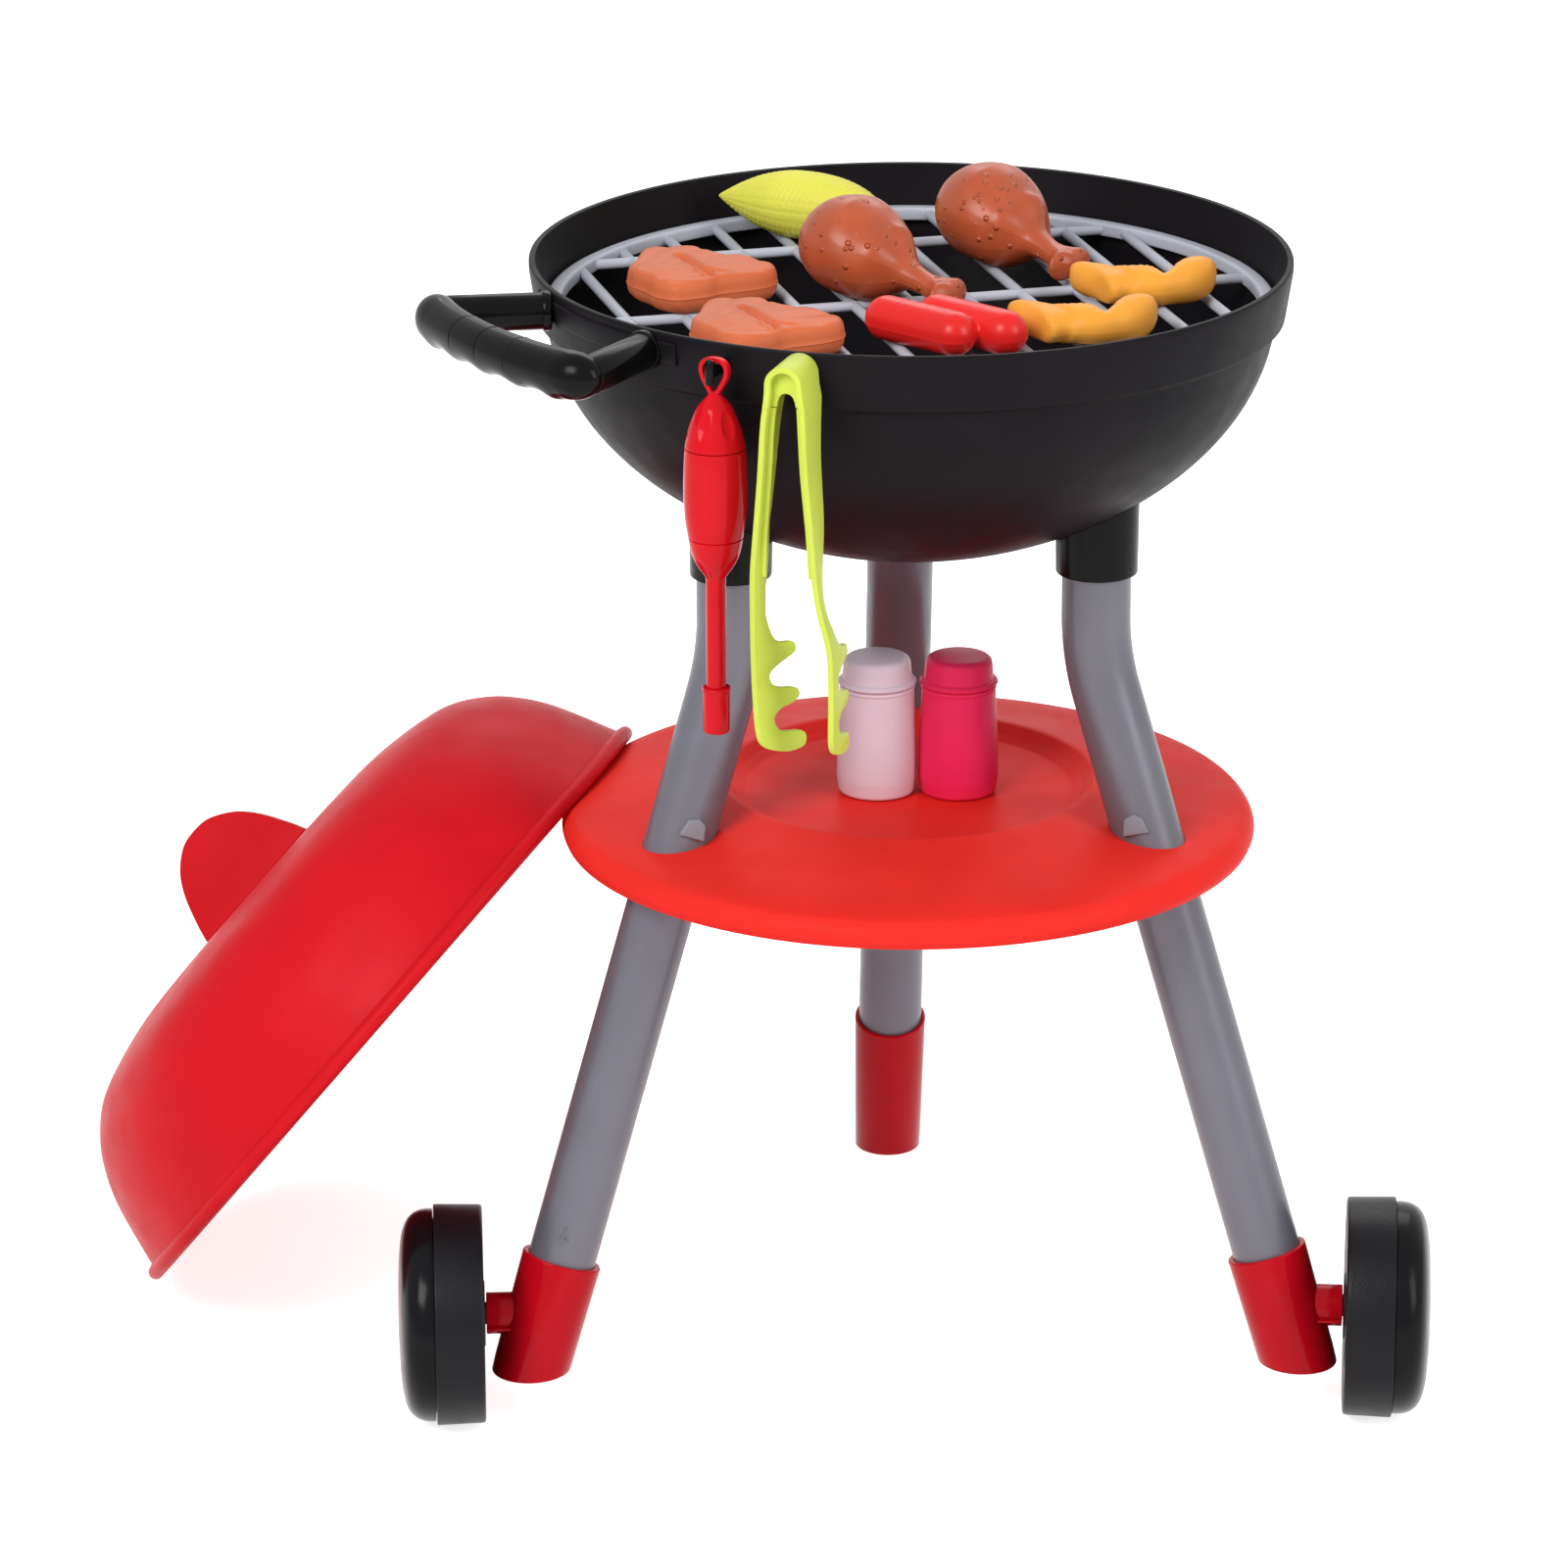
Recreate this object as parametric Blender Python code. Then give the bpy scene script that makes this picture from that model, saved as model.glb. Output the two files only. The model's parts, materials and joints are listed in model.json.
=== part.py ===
"""Toy kettle barbecue on three legs, with lid, grate, pretend food, shakers, tongs and baster.

Metres, +Z up. Everything is laid out round the bowl's axis, +X to the right and +Y to the
back, and the whole model is then moved so that its origin is the middle of its footprint.
"""
import math

import bmesh
import bpy
from mathutils import Matrix, Vector

# Clearances and cutting
GAP = 0.0003
FIT = 0.0003
RUNNING_FIT = 0.0003
OVERRUN = 0.004
MERGE = 0.00001

# Numbers of sides
BIG_SIDES = 48
TUBE_SIDES = 14
WHEEL_SIDES = 24
SMALL_SIDES = 10

# Bowl: a band with a ledge inside, a step and a round bottom
BOWL_RIM_R = 0.165
BOWL_RIM_Z = 0.503
BOWL_WALL = 0.0028
BAND_HEIGHT = 0.0245
BAND_TAPER = 0.0031
STEP_IN = 0.0034
STEP_HEIGHT = 0.0035
BOWL_ROUND_DEPTH = 0.1018
LEDGE_DEPTH = 0.0248
BOWL_CURVE_SHARES = ((0.975, 0.128), (0.938, 0.299), (0.869, 0.464), (0.782, 0.595),
                     (0.643, 0.743), (0.465, 0.873), (0.250, 0.966), (0.0, 1.0))

# Grate: a flat ring with round bars both ways
GRATE_RING_CLEARANCE = 0.0010
GRATE_RING_WIDTH = 0.0075
GRATE_RING_HEIGHT = 0.006
BAR_R = 0.0023
BAR_LOW = 0.0025
BAR_STAGGER = 0.0002
BAR_SIDES = 6
BAR_PITCH = 0.0251
BAR_SIDE_COUNT = 5
CROSS_PITCH = 0.097
CROSS_SIDE_COUNT = 1
GRATE_TURN = math.radians(13.6)

# Legs: tubes that drop straight from the sockets, bend and splay
LEG_R = 0.015
LEG_WALL = 0.0016
LEG_TOP_R = 0.0919
LEG_STRAIGHT = 0.0369
LEG_BEND_R = 0.11
LEG_BEND_STEPS = 4
LEG_SPLAY = math.radians(18.62)
LEG_TURNS = {"front_left": math.radians(210.7), "front_right": math.radians(329.3),
             "rear": math.radians(90.0)}

# Sockets under the bowl, each held by a screw from inside
SOCKET_R = 0.0178
SOCKET_DROP = 0.0217
SOCKET_DEPTH = 0.0100
SOCKET_SCREW_R = 0.0018
SOCKET_SCREW_LENGTH = 0.0085
SCREW_HEAD_R = 0.0038
SCREW_HEAD_HEIGHT = 0.0022

# Shelf: a domed disc with a round dish and three leg holes
SHELF_HOLE_MARGIN = 0.014554
SHELF_WALL = 0.0025
SHELF_LIP_Z = 0.2398
SHELF_HEIGHT = 0.0250
SHELF_HOLE_CLEARANCE = 0.0006
DISH_WALL_RUN = 0.008
DISH_DEPTH = 0.0063
SHELF_EDGE_SHARES = ((0.9935, 0.0), (1.0, 0.13), (0.985, 0.366), (0.958, 0.49), (0.766, 0.71),
                     (0.649, 0.871), (0.5714, 0.984), (0.542, 1.0125), (0.529, 1.0))

# Front feet: cups on the leg ends, with a stub and a journal for the wheel
FOOT_TOP_R = 0.0177
FOOT_LOW_R = 0.0166
FOOT_TOP_Z = 0.0726
FOOT_BOTTOM_Z = 0.0235
FOOT_FLOOR = 0.004
FOOT_EDGE = 0.0015
STUB_R = 0.00925
AXLE_Z = 0.0486
JOURNAL_R = 0.005
JOURNAL_PROUD = 0.0003
AXLE_SCREW_R = 0.0015
AXLE_SCREW_LENGTH = 0.009
AXLE_HEAD_R = 0.0078
AXLE_HEAD_HEIGHT = 0.0027

# Rear foot
REAR_TOP_R = 0.0169
REAR_LOW_R = 0.0160
REAR_TOP_Z = 0.0775
REAR_FLOOR = 0.004

# Wheels and hub caps
WHEEL_R = 0.0486
WHEEL_INNER = 0.0275
WHEEL_TOES = {"left": math.radians(2.0), "right": math.radians(-6.0)}
TREAD_WIDTH = 0.0217
TREAD_EDGE = 0.0018
WHEEL_RIM = 0.005
WHEEL_WEB = 0.0035
COLLAR_R = 0.0145
COLLAR_PROUD = 0.002
COLLAR_GAP = 0.0005
HUB_R = 0.0095
HUB_LENGTH = 0.015
CAP_SET_IN = 0.002
CAP_DOME = 0.0158
CAP_WALL = 0.002
CAP_SPIGOT = 0.004
CAP_SHARES = ((1.0, 0.0), (0.998, 0.19), (0.970, 0.49), (0.890, 0.76), (0.730, 0.92),
              (0.430, 0.982), (0.0, 1.0))

# Handle on the band: two prongs and a bowed bar with round ends
HANDLE_TURN = math.radians(212.9)
HANDLE_DROP = 0.0090
PRONG_R = 0.008
PRONG_FOOT_HALF = 0.037
PRONG_END_HALF = 0.0585
GRIP_OUT = 0.0385
GRIP_BOW = 0.009
GRIP_HALF = 0.0660
GRIP_R = 0.0102
GRIP_SHARES = ((-1.0, 0.0), (-0.985, 0.42), (-0.94, 0.78), (-0.86, 1.0), (-0.70, 0.93),
               (-0.48, 0.90), (-0.24, 0.96), (0.0, 0.92), (0.24, 0.96), (0.48, 0.90),
               (0.70, 0.93), (0.86, 1.0), (0.94, 0.78), (0.985, 0.42), (1.0, 0.0))
PEG_R = 0.0042
PEG_REACH = 0.0047

# Hooks on the band
HOOK_TURNS = {"baster": math.radians(-119.8), "tongs": math.radians(-108.35)}
HOOK_WIDTH = 0.004
HOOK_ARM_WIDTH = 0.0026
HOOK_ARM_DROP = 0.0060
HOOK_ARM_HEIGHT = 0.0055
HOOK_TAB_OUT = 0.0125
HOOK_TAB_THICK = 0.003
HOOK_TAB_DROP = 0.0033
HOOK_TAB_HEIGHT = 0.0112
HOOK_PEG_R = 0.0014

# Lid: a dome with a rolled bead, lying on its side against the shelf
LID_TURN = math.radians(164.02)
LID_REACH = 0.0904
LID_CENTRE_Z = 0.13135
LID_AXIS = (-0.74798, 0.21411, 0.62824)
LID_FIN_DIRECTION = (0.667, 0.236, 0.706)
LID_R = 0.1675
LID_BEAD_R = 0.0035
LID_WALL = 0.0025
LID_HEIGHT = 0.0815
BEAD_START = math.radians(55.0)
BEAD_STEP = math.radians(-40.0)
BEAD_POINTS = 7
LID_SHARES = ((0.9701, 0.049), (0.9104, 0.405), (0.8537, 0.6135), (0.7982, 0.7423),
              (0.7242, 0.8528), (0.6328, 0.9178), (0.4925, 0.973), (0.3522, 0.9877),
              (0.2030, 0.9939), (0.0, 1.0))

# Lid handle: an upright fin with two pegs through the lid
FIN_HEIGHT = 0.039
FIN_BASE_HALF = 0.0355
FIN_THICK = 0.014
FIN_EDGE = 0.0045
FIN_EDGE_STEPS = 2
FIN_PEG_R = 0.003
FIN_PEG_SPREAD = 0.018
FIN_PEG_LENGTH = 0.0045
FIN_SHARES = ((1.0, 0.0), (0.94, 0.16), (0.87, 0.31), (0.80, 0.45), (0.70, 0.61), (0.555, 0.775),
              (0.34, 0.92), (0.14, 0.985), (-0.14, 0.985), (-0.34, 0.92), (-0.555, 0.775),
              (-0.70, 0.61), (-0.80, 0.45), (-0.87, 0.31), (-0.94, 0.16), (-1.0, 0.0))

# Shakers on the dish
SHAKER_HEIGHT = 0.0635
SHAKER_LOW_R = 0.0177
SHAKER_TOP_R = 0.0163
SHAKER_CAP_HEIGHT = 0.0135
SHAKER_WALL = 0.0018
SHAKER_BEAD_R = 0.0168
SHAKER_CAP_R = 0.0151
SHAKER_BEAD_HEIGHT = 0.0022
SHAKER_EDGE = 0.002
SHAKER_NECK_DEPTH = 0.004
SHAKER_PLACES = {"white": (-0.0141, -0.0044), "pink": (0.0220, -0.0054)}

# Food: corn, drumsticks, steaks, sausages and wings
CORN_LENGTH = 0.0816
CORN_R = 0.0153
CORN_SINK = 0.0012
CORN_PLACE_SHARE = (-0.2727, 0.6461)
CORN_TURN = math.radians(-27.0)
CORN_SHARES = ((0.0, 0.0), (0.06, 0.24), (0.15, 0.50), (0.27, 0.77), (0.42, 0.96), (0.57, 1.0),
               (0.71, 0.93), (0.83, 0.76), (0.93, 0.50), (0.985, 0.24), (1.0, 0.0))
CORN_SIDES = 16
DRUM_LENGTH = 0.082
DRUM_HALF_WIDTH = 0.0240
DRUM_HALF_HEIGHT = 0.0218
DRUM_SHARES = ((0.0, 0.0), (0.03, 0.44), (0.11, 0.77), (0.22, 0.96), (0.34, 1.0), (0.46, 0.91),
               (0.56, 0.68), (0.64, 0.44), (0.71, 0.29), (0.80, 0.24), (0.87, 0.29),
               (0.92, 0.36), (0.97, 0.30), (1.0, 0.0))
DRUM_KNUCKLE_SHARE = 0.93
DRUM_BODY_SHARE = 0.34
DRUM_BONE_LIFT = 0.0085
DRUM_SINK = 0.0007
DRUM_SIDES = 16
DRUM_PLACE_SHARES = ((-0.1303, 0.0376), (0.2412, 0.3770))
DRUM_TURNS = (math.radians(-43.0), math.radians(-52.0))
STEAK_WIDTH = 0.0652
STEAK_THICK = 0.017
STEAK_SHARES = ((-0.319, 0.515), (-0.044, 0.506), (0.037, 0.391), (0.101, 0.291), (0.298, 0.222),
                (0.393, 0.130), (0.488, 0.031), (0.500, -0.061), (0.474, -0.161),
                (0.340, -0.268), (0.147, -0.353), (0.018, -0.445), (-0.158, -0.515),
                (-0.301, -0.437), (-0.380, -0.291), (-0.460, -0.169), (-0.500, -0.010),
                (-0.426, 0.150), (-0.410, 0.330))
STEAK_LAYER_SHARES = ((0.0, 0.84), (0.16, 0.95), (0.45, 1.0), (0.78, 0.96), (1.0, 0.82))
STEAK_PLACE_SHARES = ((-0.5473, 0.0224), (-0.3879, -0.5030))
SAUSAGE_LENGTH = 0.0566
SAUSAGE_R = 0.0096
SAUSAGE_SPREAD = 0.0157
SAUSAGE_STAGGER = 0.0147
SAUSAGE_PLACE_SHARE = (0.0691, -0.4960)
SAUSAGE_TURN = math.radians(-44.0)
SAUSAGE_DOME_SHARES = ((0.0, 0.0), (0.06, 0.34), (0.30, 0.715), (0.65, 0.937), (1.0, 1.0))
SAUSAGE_SIDES = 12
WING_LENGTH = 0.050
WING_BEND = 0.013
WING_HALF_WIDTH = 0.0118
WING_HALF_HEIGHT = 0.0088
WING_SIDES = 12
WING_SHARES = ((-0.66, 0.90, 0.0), (-0.63, 0.80, 0.42), (-0.56, 0.62, 0.76), (-0.42, 0.34, 0.95),
               (-0.20, 0.06, 0.94), (0.02, 0.0, 1.0), (0.22, 0.12, 1.0), (0.40, 0.46, 1.04),
               (0.53, 0.84, 0.86), (0.59, 1.04, 0.52), (0.61, 1.14, 0.0))
WING_PLACE_SHARES = ((0.6145, -0.0370), (0.4236, -0.4515))
WING_TURNS = (math.radians(172.0), 0.0)

# Tongs: a crown that hangs on its hook and two arms with claws
TONGS_THICK = 0.0025
TONGS_YAW = math.radians(-0.8)
TONGS_TILT = math.radians(1.4)
TONGS_WIDTH = 0.0240
TONGS_BEYOND_HOOK = 0.0106
TONGS_CROWN_HALF = 0.0067
TONGS_HINGE_HALF = 0.0078
TONGS_CROWN_STEPS = 10
TONGS_HINGE_DROP = 0.0165
TONGS_ARM_LENGTH = 0.1449
TONGS_SPREAD = 0.0080
# Each row: share of the arm's length, share of the spread.
TONGS_ARM_SHARES = {"left": ((0.0, 0.0), (0.05, 0.16), (0.175, 0.33), (0.354, 0.66), (0.50, 0.975),
                             (0.61, 1.01), (0.70, 1.04), (0.85, 1.01), (1.0, 0.875)),
                    "right": ((0.0, 0.0), (0.10, 0.04), (0.20, 0.09), (0.365, 0.31), (0.50, 0.44),
                              (0.61, 0.71), (0.69, 1.20), (0.85, 1.21), (1.0, 1.10))}
TONGS_TWISTS = {"left": math.radians(22.0), "right": math.radians(4.0)}
# Each row: length at the outer edge, length at the inner edge, width, twist.
CLAW_SHARES = ((0.0, 0.0, 1.0, 0.0), (0.14, 0.14, 0.83, 0.0), (0.32, 0.32, 0.70, 0.0),
               (0.46, 0.46, 0.50, 0.3), (0.58, 0.58, 0.34, 1.0), (0.66, 0.675, 0.40, 1.0),
               (0.68, 0.736, 1.12, 1.0), (0.72, 0.774, 1.12, 1.0), (0.78, 0.814, 0.38, 1.0),
               (0.82, 0.875, 1.17, 1.0), (0.86, 0.913, 1.17, 1.0), (0.91, 0.937, 0.40, 1.0),
               (0.95, 1.012, 1.21, 1.0), (1.0, 1.048, 1.21, 1.0))

# Baster: a top with a loop, a barrel, a nose with its tube, and a tip
BASTER_OUT = 0.0095
BASTER_LOOP_R = 0.00555
BASTER_WIRE_R = 0.0011
BASTER_LOOP_STEPS = 16
BASTER_TOP_DROP = 0.0100
BASTER_TOP_HEIGHT = 0.0287
BASTER_BARREL_HEIGHT = 0.0393
BASTER_BODY_R = 0.0130
BASTER_WALL = 0.0018
BASTER_PLUG = 0.005
BASTER_TOP_SHARES = ((0.17, 0.0), (0.22, 0.10), (0.46, 0.20), (0.76, 0.45), (0.93, 0.74), (0.985, 1.0))
BASTER_NOSE_HEIGHT = 0.013
BASTER_NOSE_SHARES = ((0.985, 0.0), (0.91, 0.25), (0.72, 0.62), (0.42, 1.0))
BASTER_TUBE_R = 0.0041
BASTER_TUBE_DROP = 0.0740
BASTER_TIP_OVERLAP = 0.0127
BASTER_TIP_FLOOR = 0.0075
BASTER_TIP_R = 0.0059
BASTER_TIP_EDGE = 0.001

COLOURS = {
    "black": ((0.013, 0.012, 0.014), 0.48, 0.0),
    "gloss_black": ((0.006, 0.006, 0.007), 0.14, 0.0),
    "tread_black": ((0.010, 0.010, 0.012), 0.45, 0.0),
    "leg_silver": ((0.205, 0.205, 0.235), 0.36, 0.25),
    "lid_red": ((0.66, 0.014, 0.018), 0.34, 0.0),
    "shelf_red": ((0.80, 0.032, 0.022), 0.36, 0.0),
    "gloss_red": ((0.58, 0.006, 0.010), 0.12, 0.0),
    "grate_grey": ((0.54, 0.57, 0.63), 0.38, 0.0),
    "steel": ((0.55, 0.55, 0.56), 0.30, 1.0),
    "corn_yellow": ((0.72, 0.70, 0.06), 0.40, 0.0),
    "drum_brown": ((0.48, 0.09, 0.025), 0.36, 0.0),
    "steak_brown": ((0.76, 0.17, 0.065), 0.42, 0.0),
    "sausage_red": ((0.82, 0.022, 0.022), 0.32, 0.0),
    "wing_orange": ((0.95, 0.36, 0.045), 0.40, 0.0),
    "shaker_white": ((0.58, 0.50, 0.60), 0.30, 0.0),
    "shaker_pink": ((0.82, 0.028, 0.11), 0.30, 0.0),
    "lime": ((0.50, 0.72, 0.07), 0.34, 0.0),
}

CUTTERS = []


def clear_scene():
    """Remove everything that the scene starts with."""
    for old in list(bpy.data.objects):
        bpy.data.objects.remove(old, do_unlink=True)


def finish_mesh(name, bm, smooth=True):
    """Close a bmesh into an object with outward faces."""
    bmesh.ops.remove_doubles(bm, verts=bm.verts, dist=MERGE)
    bmesh.ops.recalc_face_normals(bm, faces=bm.faces)
    mesh = bpy.data.meshes.new(name)
    bm.to_mesh(mesh)
    bm.free()
    if smooth:
        mesh.shade_smooth()
        mesh.set_sharp_from_angle(angle=math.radians(35.0))
    obj = bpy.data.objects.new(name, mesh)
    bpy.context.collection.objects.link(obj)
    return obj


def paint(obj, colour):
    """Give an object its own Principled material."""
    rgb, roughness, metallic = COLOURS[colour]
    material = bpy.data.materials.new(obj.name)
    material.use_nodes = True
    shader = material.node_tree.nodes["Principled BSDF"]
    shader.inputs["Base Color"].default_value = (*rgb, 1.0)
    shader.inputs["Roughness"].default_value = roughness
    shader.inputs["Metallic"].default_value = metallic
    obj.data.materials.clear()
    obj.data.materials.append(material)
    return obj


def as_cutter(obj):
    """Mark an object as a guide that only shapes others."""
    obj.hide_render = True
    obj.display_type = 'WIRE'
    CUTTERS.append(obj)
    return obj


def boolean(obj, other, operation):
    """Add an exact boolean with a guide object."""
    modifier = obj.modifiers.new(operation.lower(), 'BOOLEAN')
    modifier.operation = operation
    modifier.solver = 'EXACT'
    modifier.object = other


def spun(name, profile, sides, placing=None):
    """Turn a closed or pole-to-pole profile of (radius, height) about Z."""
    bm = bmesh.new()
    verts = [bm.verts.new((radius, 0.0, height)) for radius, height in profile]
    edges = [bm.edges.new(pair) for pair in zip(verts, verts[1:])]
    if profile[0][0] > 0.0 or profile[-1][0] > 0.0:
        edges.append(bm.edges.new((verts[-1], verts[0])))
    bmesh.ops.spin(bm, geom=verts + edges, cent=(0.0, 0.0, 0.0), axis=(0.0, 0.0, 1.0),
                   dvec=(0.0, 0.0, 0.0), angle=math.tau, steps=sides, use_merge=True,
                   use_duplicate=False)
    if placing is not None:
        bm.transform(placing)
    return finish_mesh(name, bm)


def lofted(name, rings, placing=None):
    """Skin a row of rings and cap both ends; a ring of one point is a pole."""
    bm = bmesh.new()
    rows = [[bm.verts.new(point) for point in ring] for ring in rings]
    for row, after in zip(rows, rows[1:]):
        count = max(len(row), len(after))
        for i in range(count):
            j = (i + 1) % count
            if len(row) == 1:
                bm.faces.new((row[0], after[j], after[i]))
            elif len(after) == 1:
                bm.faces.new((row[i], row[j], after[0]))
            else:
                bm.faces.new((row[i], row[j], after[j], after[i]))
    for row in (rows[0], rows[-1]):
        if len(row) > 2:
            bm.faces.new(row)
    if placing is not None:
        bm.transform(placing)
    return finish_mesh(name, bm)


def ellipse(centre, across, up, half_width, half_height, sides):
    """Points of an upright ring round a centre; a zero ring is a pole."""
    if half_width <= 0.0:
        return [centre]
    points = []
    for i in range(sides):
        angle = math.tau * i / sides
        points.append(centre + across * (half_width * math.cos(angle))
                      + up * (half_height * math.sin(angle)))
    return points


def rod(name, start, end, radius, sides):
    """A round bar between two points."""
    start, end = Vector(start), Vector(end)
    along = (end - start).normalized()
    across = along.orthogonal().normalized()
    up = along.cross(across)
    return lofted(name, [ellipse(point, across, up, radius, radius, sides)
                         for point in (start, end)])


def block(name, low, high, placing=None):
    """A box between two corners."""
    bm = bmesh.new()
    bmesh.ops.create_cube(bm, size=1.0)
    low, high = Vector(low), Vector(high)
    middle = (low + high) / 2
    size = high - low
    bm.transform(Matrix.Translation(middle) @ Matrix.Diagonal((*size, 1.0)))
    if placing is not None:
        bm.transform(placing)
    return finish_mesh(name, bm, smooth=False)


def inset_curve(points, depth):
    """A (radius, height) curve moved inward and up by the wall's depth."""
    moved = []
    for i, point in enumerate(points):
        before = Vector(points[max(i - 1, 0)])
        after = Vector(points[min(i + 1, len(points) - 1)])
        along = (after - before).normalized()
        inward = Vector((along.y, -along.x))
        if point[0] <= 0.0:
            moved.append((0.0, point[1] + math.copysign(depth, inward.y)))
        else:
            moved.append((point[0] + inward.x * depth, point[1] + inward.y * depth))
    return moved


def turned_about_z(angle):
    """Rotation of the whole part about the bowl's axis."""
    return Matrix.Rotation(angle, 4, 'Z')


def polar(angle, radius, height):
    """A point at an angle and radius from the bowl's axis."""
    return Vector((radius * math.cos(angle), radius * math.sin(angle), height))


# Bowl

STEP_R = BOWL_RIM_R - BAND_TAPER - STEP_IN
STEP_Z = BOWL_RIM_Z - BAND_HEIGHT - STEP_HEIGHT
LEDGE_Z = BOWL_RIM_Z - LEDGE_DEPTH


def bowl_outer():
    """The bowl's outer curve from the rim to the bottom."""
    curve = [(BOWL_RIM_R, BOWL_RIM_Z), (BOWL_RIM_R - BAND_TAPER, BOWL_RIM_Z - BAND_HEIGHT),
             (STEP_R, STEP_Z)]
    for radius_share, depth_share in BOWL_CURVE_SHARES:
        curve.append((STEP_R * radius_share, STEP_Z - BOWL_ROUND_DEPTH * depth_share))
    return curve


def bowl_height(radius):
    """Height of the bowl's underside at a radius."""
    curve = bowl_outer()
    for (r_one, z_one), (r_two, z_two) in zip(curve, curve[1:]):
        if r_two <= radius <= r_one:
            return z_two + (z_one - z_two) * (radius - r_two) / (r_one - r_two)
    return curve[-1][1]


SOCKET_BOTTOM_Z = bowl_height(LEG_TOP_R) - SOCKET_DROP
LEG_BEND_Z = SOCKET_BOTTOM_Z - LEG_STRAIGHT
BAR_REACH = BOWL_RIM_R + GRIP_OUT
HANDLE_Z = BOWL_RIM_Z - HANDLE_DROP
PEG_END_R = BOWL_RIM_R - PEG_REACH
HOOK_TAB_R = BOWL_RIM_R + HOOK_TAB_OUT
HOOK_TAB_TOP_Z = BOWL_RIM_Z - HOOK_TAB_DROP
HOOK_ARM_TOP_Z = BOWL_RIM_Z - HOOK_ARM_DROP
BASTER_TOP_Z = HOOK_ARM_TOP_Z - BASTER_TOP_DROP
BASTER_SEAM_Z = BASTER_TOP_Z - BASTER_TOP_HEIGHT
BASTER_NOSE_Z = BASTER_SEAM_Z - BASTER_BARREL_HEIGHT
BASTER_TUBE_END_Z = BASTER_NOSE_Z - BASTER_TUBE_DROP
BASTER_TIP_TOP_Z = BASTER_TUBE_END_Z + BASTER_TIP_OVERLAP
BASTER_TIP_BOTTOM_Z = BASTER_TUBE_END_Z - BASTER_TIP_FLOOR


def band_radius(height):
    """Outer radius of the band at a height."""
    return BOWL_RIM_R - BAND_TAPER * (BOWL_RIM_Z - height) / BAND_HEIGHT


def make_bowl():
    """The bowl, and the envelope that its neighbours are cut with."""
    outer = bowl_outer()
    ledge_r = band_radius(LEDGE_Z) - BOWL_WALL
    inner = inset_curve(outer[2:], BOWL_WALL)
    profile = outer + inner[::-1]
    profile += [(inner[0][0], LEDGE_Z), (ledge_r, LEDGE_Z), (BOWL_RIM_R - BOWL_WALL, BOWL_RIM_Z)]
    bowl = paint(spun("bowl", profile, BIG_SIDES), "black")
    hull = [(radius + GAP * (radius > 0.0), height - GAP) for radius, height in outer]
    lid_of_hull = [(0.0, BOWL_RIM_Z + OVERRUN), (hull[0][0], BOWL_RIM_Z + OVERRUN)]
    envelope = as_cutter(spun("bowl_envelope", lid_of_hull + hull, BIG_SIDES))
    return bowl, envelope


# Legs, sockets and feet

SPLAY_TAN = math.tan(LEG_SPLAY)


def leg_radius(height):
    """Distance of a leg's splayed axis from the bowl's axis at a height."""
    return LEG_TOP_R + SPLAY_TAN * (LEG_BEND_Z - height)


SHELF_R = leg_radius(SHELF_LIP_Z) + LEG_R + SHELF_HOLE_MARGIN


def leg_frame(height):
    """Point on the splayed axis, its way down and its across direction, for a leg at angle 0."""
    point = Vector((leg_radius(height), 0.0, height))
    down = Vector((math.sin(LEG_SPLAY), 0.0, -math.cos(LEG_SPLAY)))
    across = Vector((math.cos(LEG_SPLAY), 0.0, math.sin(LEG_SPLAY)))
    return point, down, across


def square_ring(height, radius, sides):
    """Ring square to the splayed axis."""
    point, _, across = leg_frame(height)
    return ellipse(point, across, Vector((0.0, 1.0, 0.0)), radius, radius, sides)


def level_ring(height, radius, sides):
    """Ring where a level plane cuts a cylinder round the splayed axis."""
    point, down, across = leg_frame(height)
    ring = ellipse(point, across, Vector((0.0, 1.0, 0.0)), radius, radius, sides)
    return [spot + down * ((height - spot.z) / down.z) for spot in ring]


def leg_path(end_height):
    """Points and tangents of a leg's centre line from its top to its end."""
    tangent = LEG_BEND_R * math.tan(LEG_SPLAY / 2)
    start = LEG_BEND_Z + tangent
    centre = Vector((LEG_TOP_R + LEG_BEND_R, 0.0, start))
    top = SOCKET_BOTTOM_Z + SOCKET_DEPTH - GAP
    path = [(Vector((LEG_TOP_R, 0.0, top)), 0.0)]
    for i in range(LEG_BEND_STEPS + 1):
        angle = LEG_SPLAY * i / LEG_BEND_STEPS
        spot = centre + Vector((-math.cos(angle), 0.0, -math.sin(angle))) * LEG_BEND_R
        path.append((spot, angle))
    point, _, _ = leg_frame(end_height)
    path.append((point, LEG_SPLAY))
    return path


def make_leg(side, end_height):
    """One leg: a bent tube, open at both ends."""
    outer, inner = [], []
    for spot, angle in leg_path(end_height):
        across = Vector((math.cos(angle), 0.0, math.sin(angle)))
        aside = Vector((0.0, 1.0, 0.0))
        outer.append(ellipse(spot, across, aside, LEG_R, LEG_R, TUBE_SIDES))
        inner.append(ellipse(spot, across, aside, LEG_R - LEG_WALL, LEG_R - LEG_WALL, TUBE_SIDES))
    rings = outer + inner[::-1]
    bm = bmesh.new()
    rows = [[bm.verts.new(point) for point in ring] for ring in rings]
    for row, after in zip(rows, rows[1:] + rows[:1]):
        for i in range(TUBE_SIDES):
            j = (i + 1) % TUBE_SIDES
            bm.faces.new((row[i], row[j], after[j], after[i]))
    bm.transform(turned_about_z(LEG_TURNS[side]))
    return paint(finish_mesh("leg_" + side, bm), "leg_silver")


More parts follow.
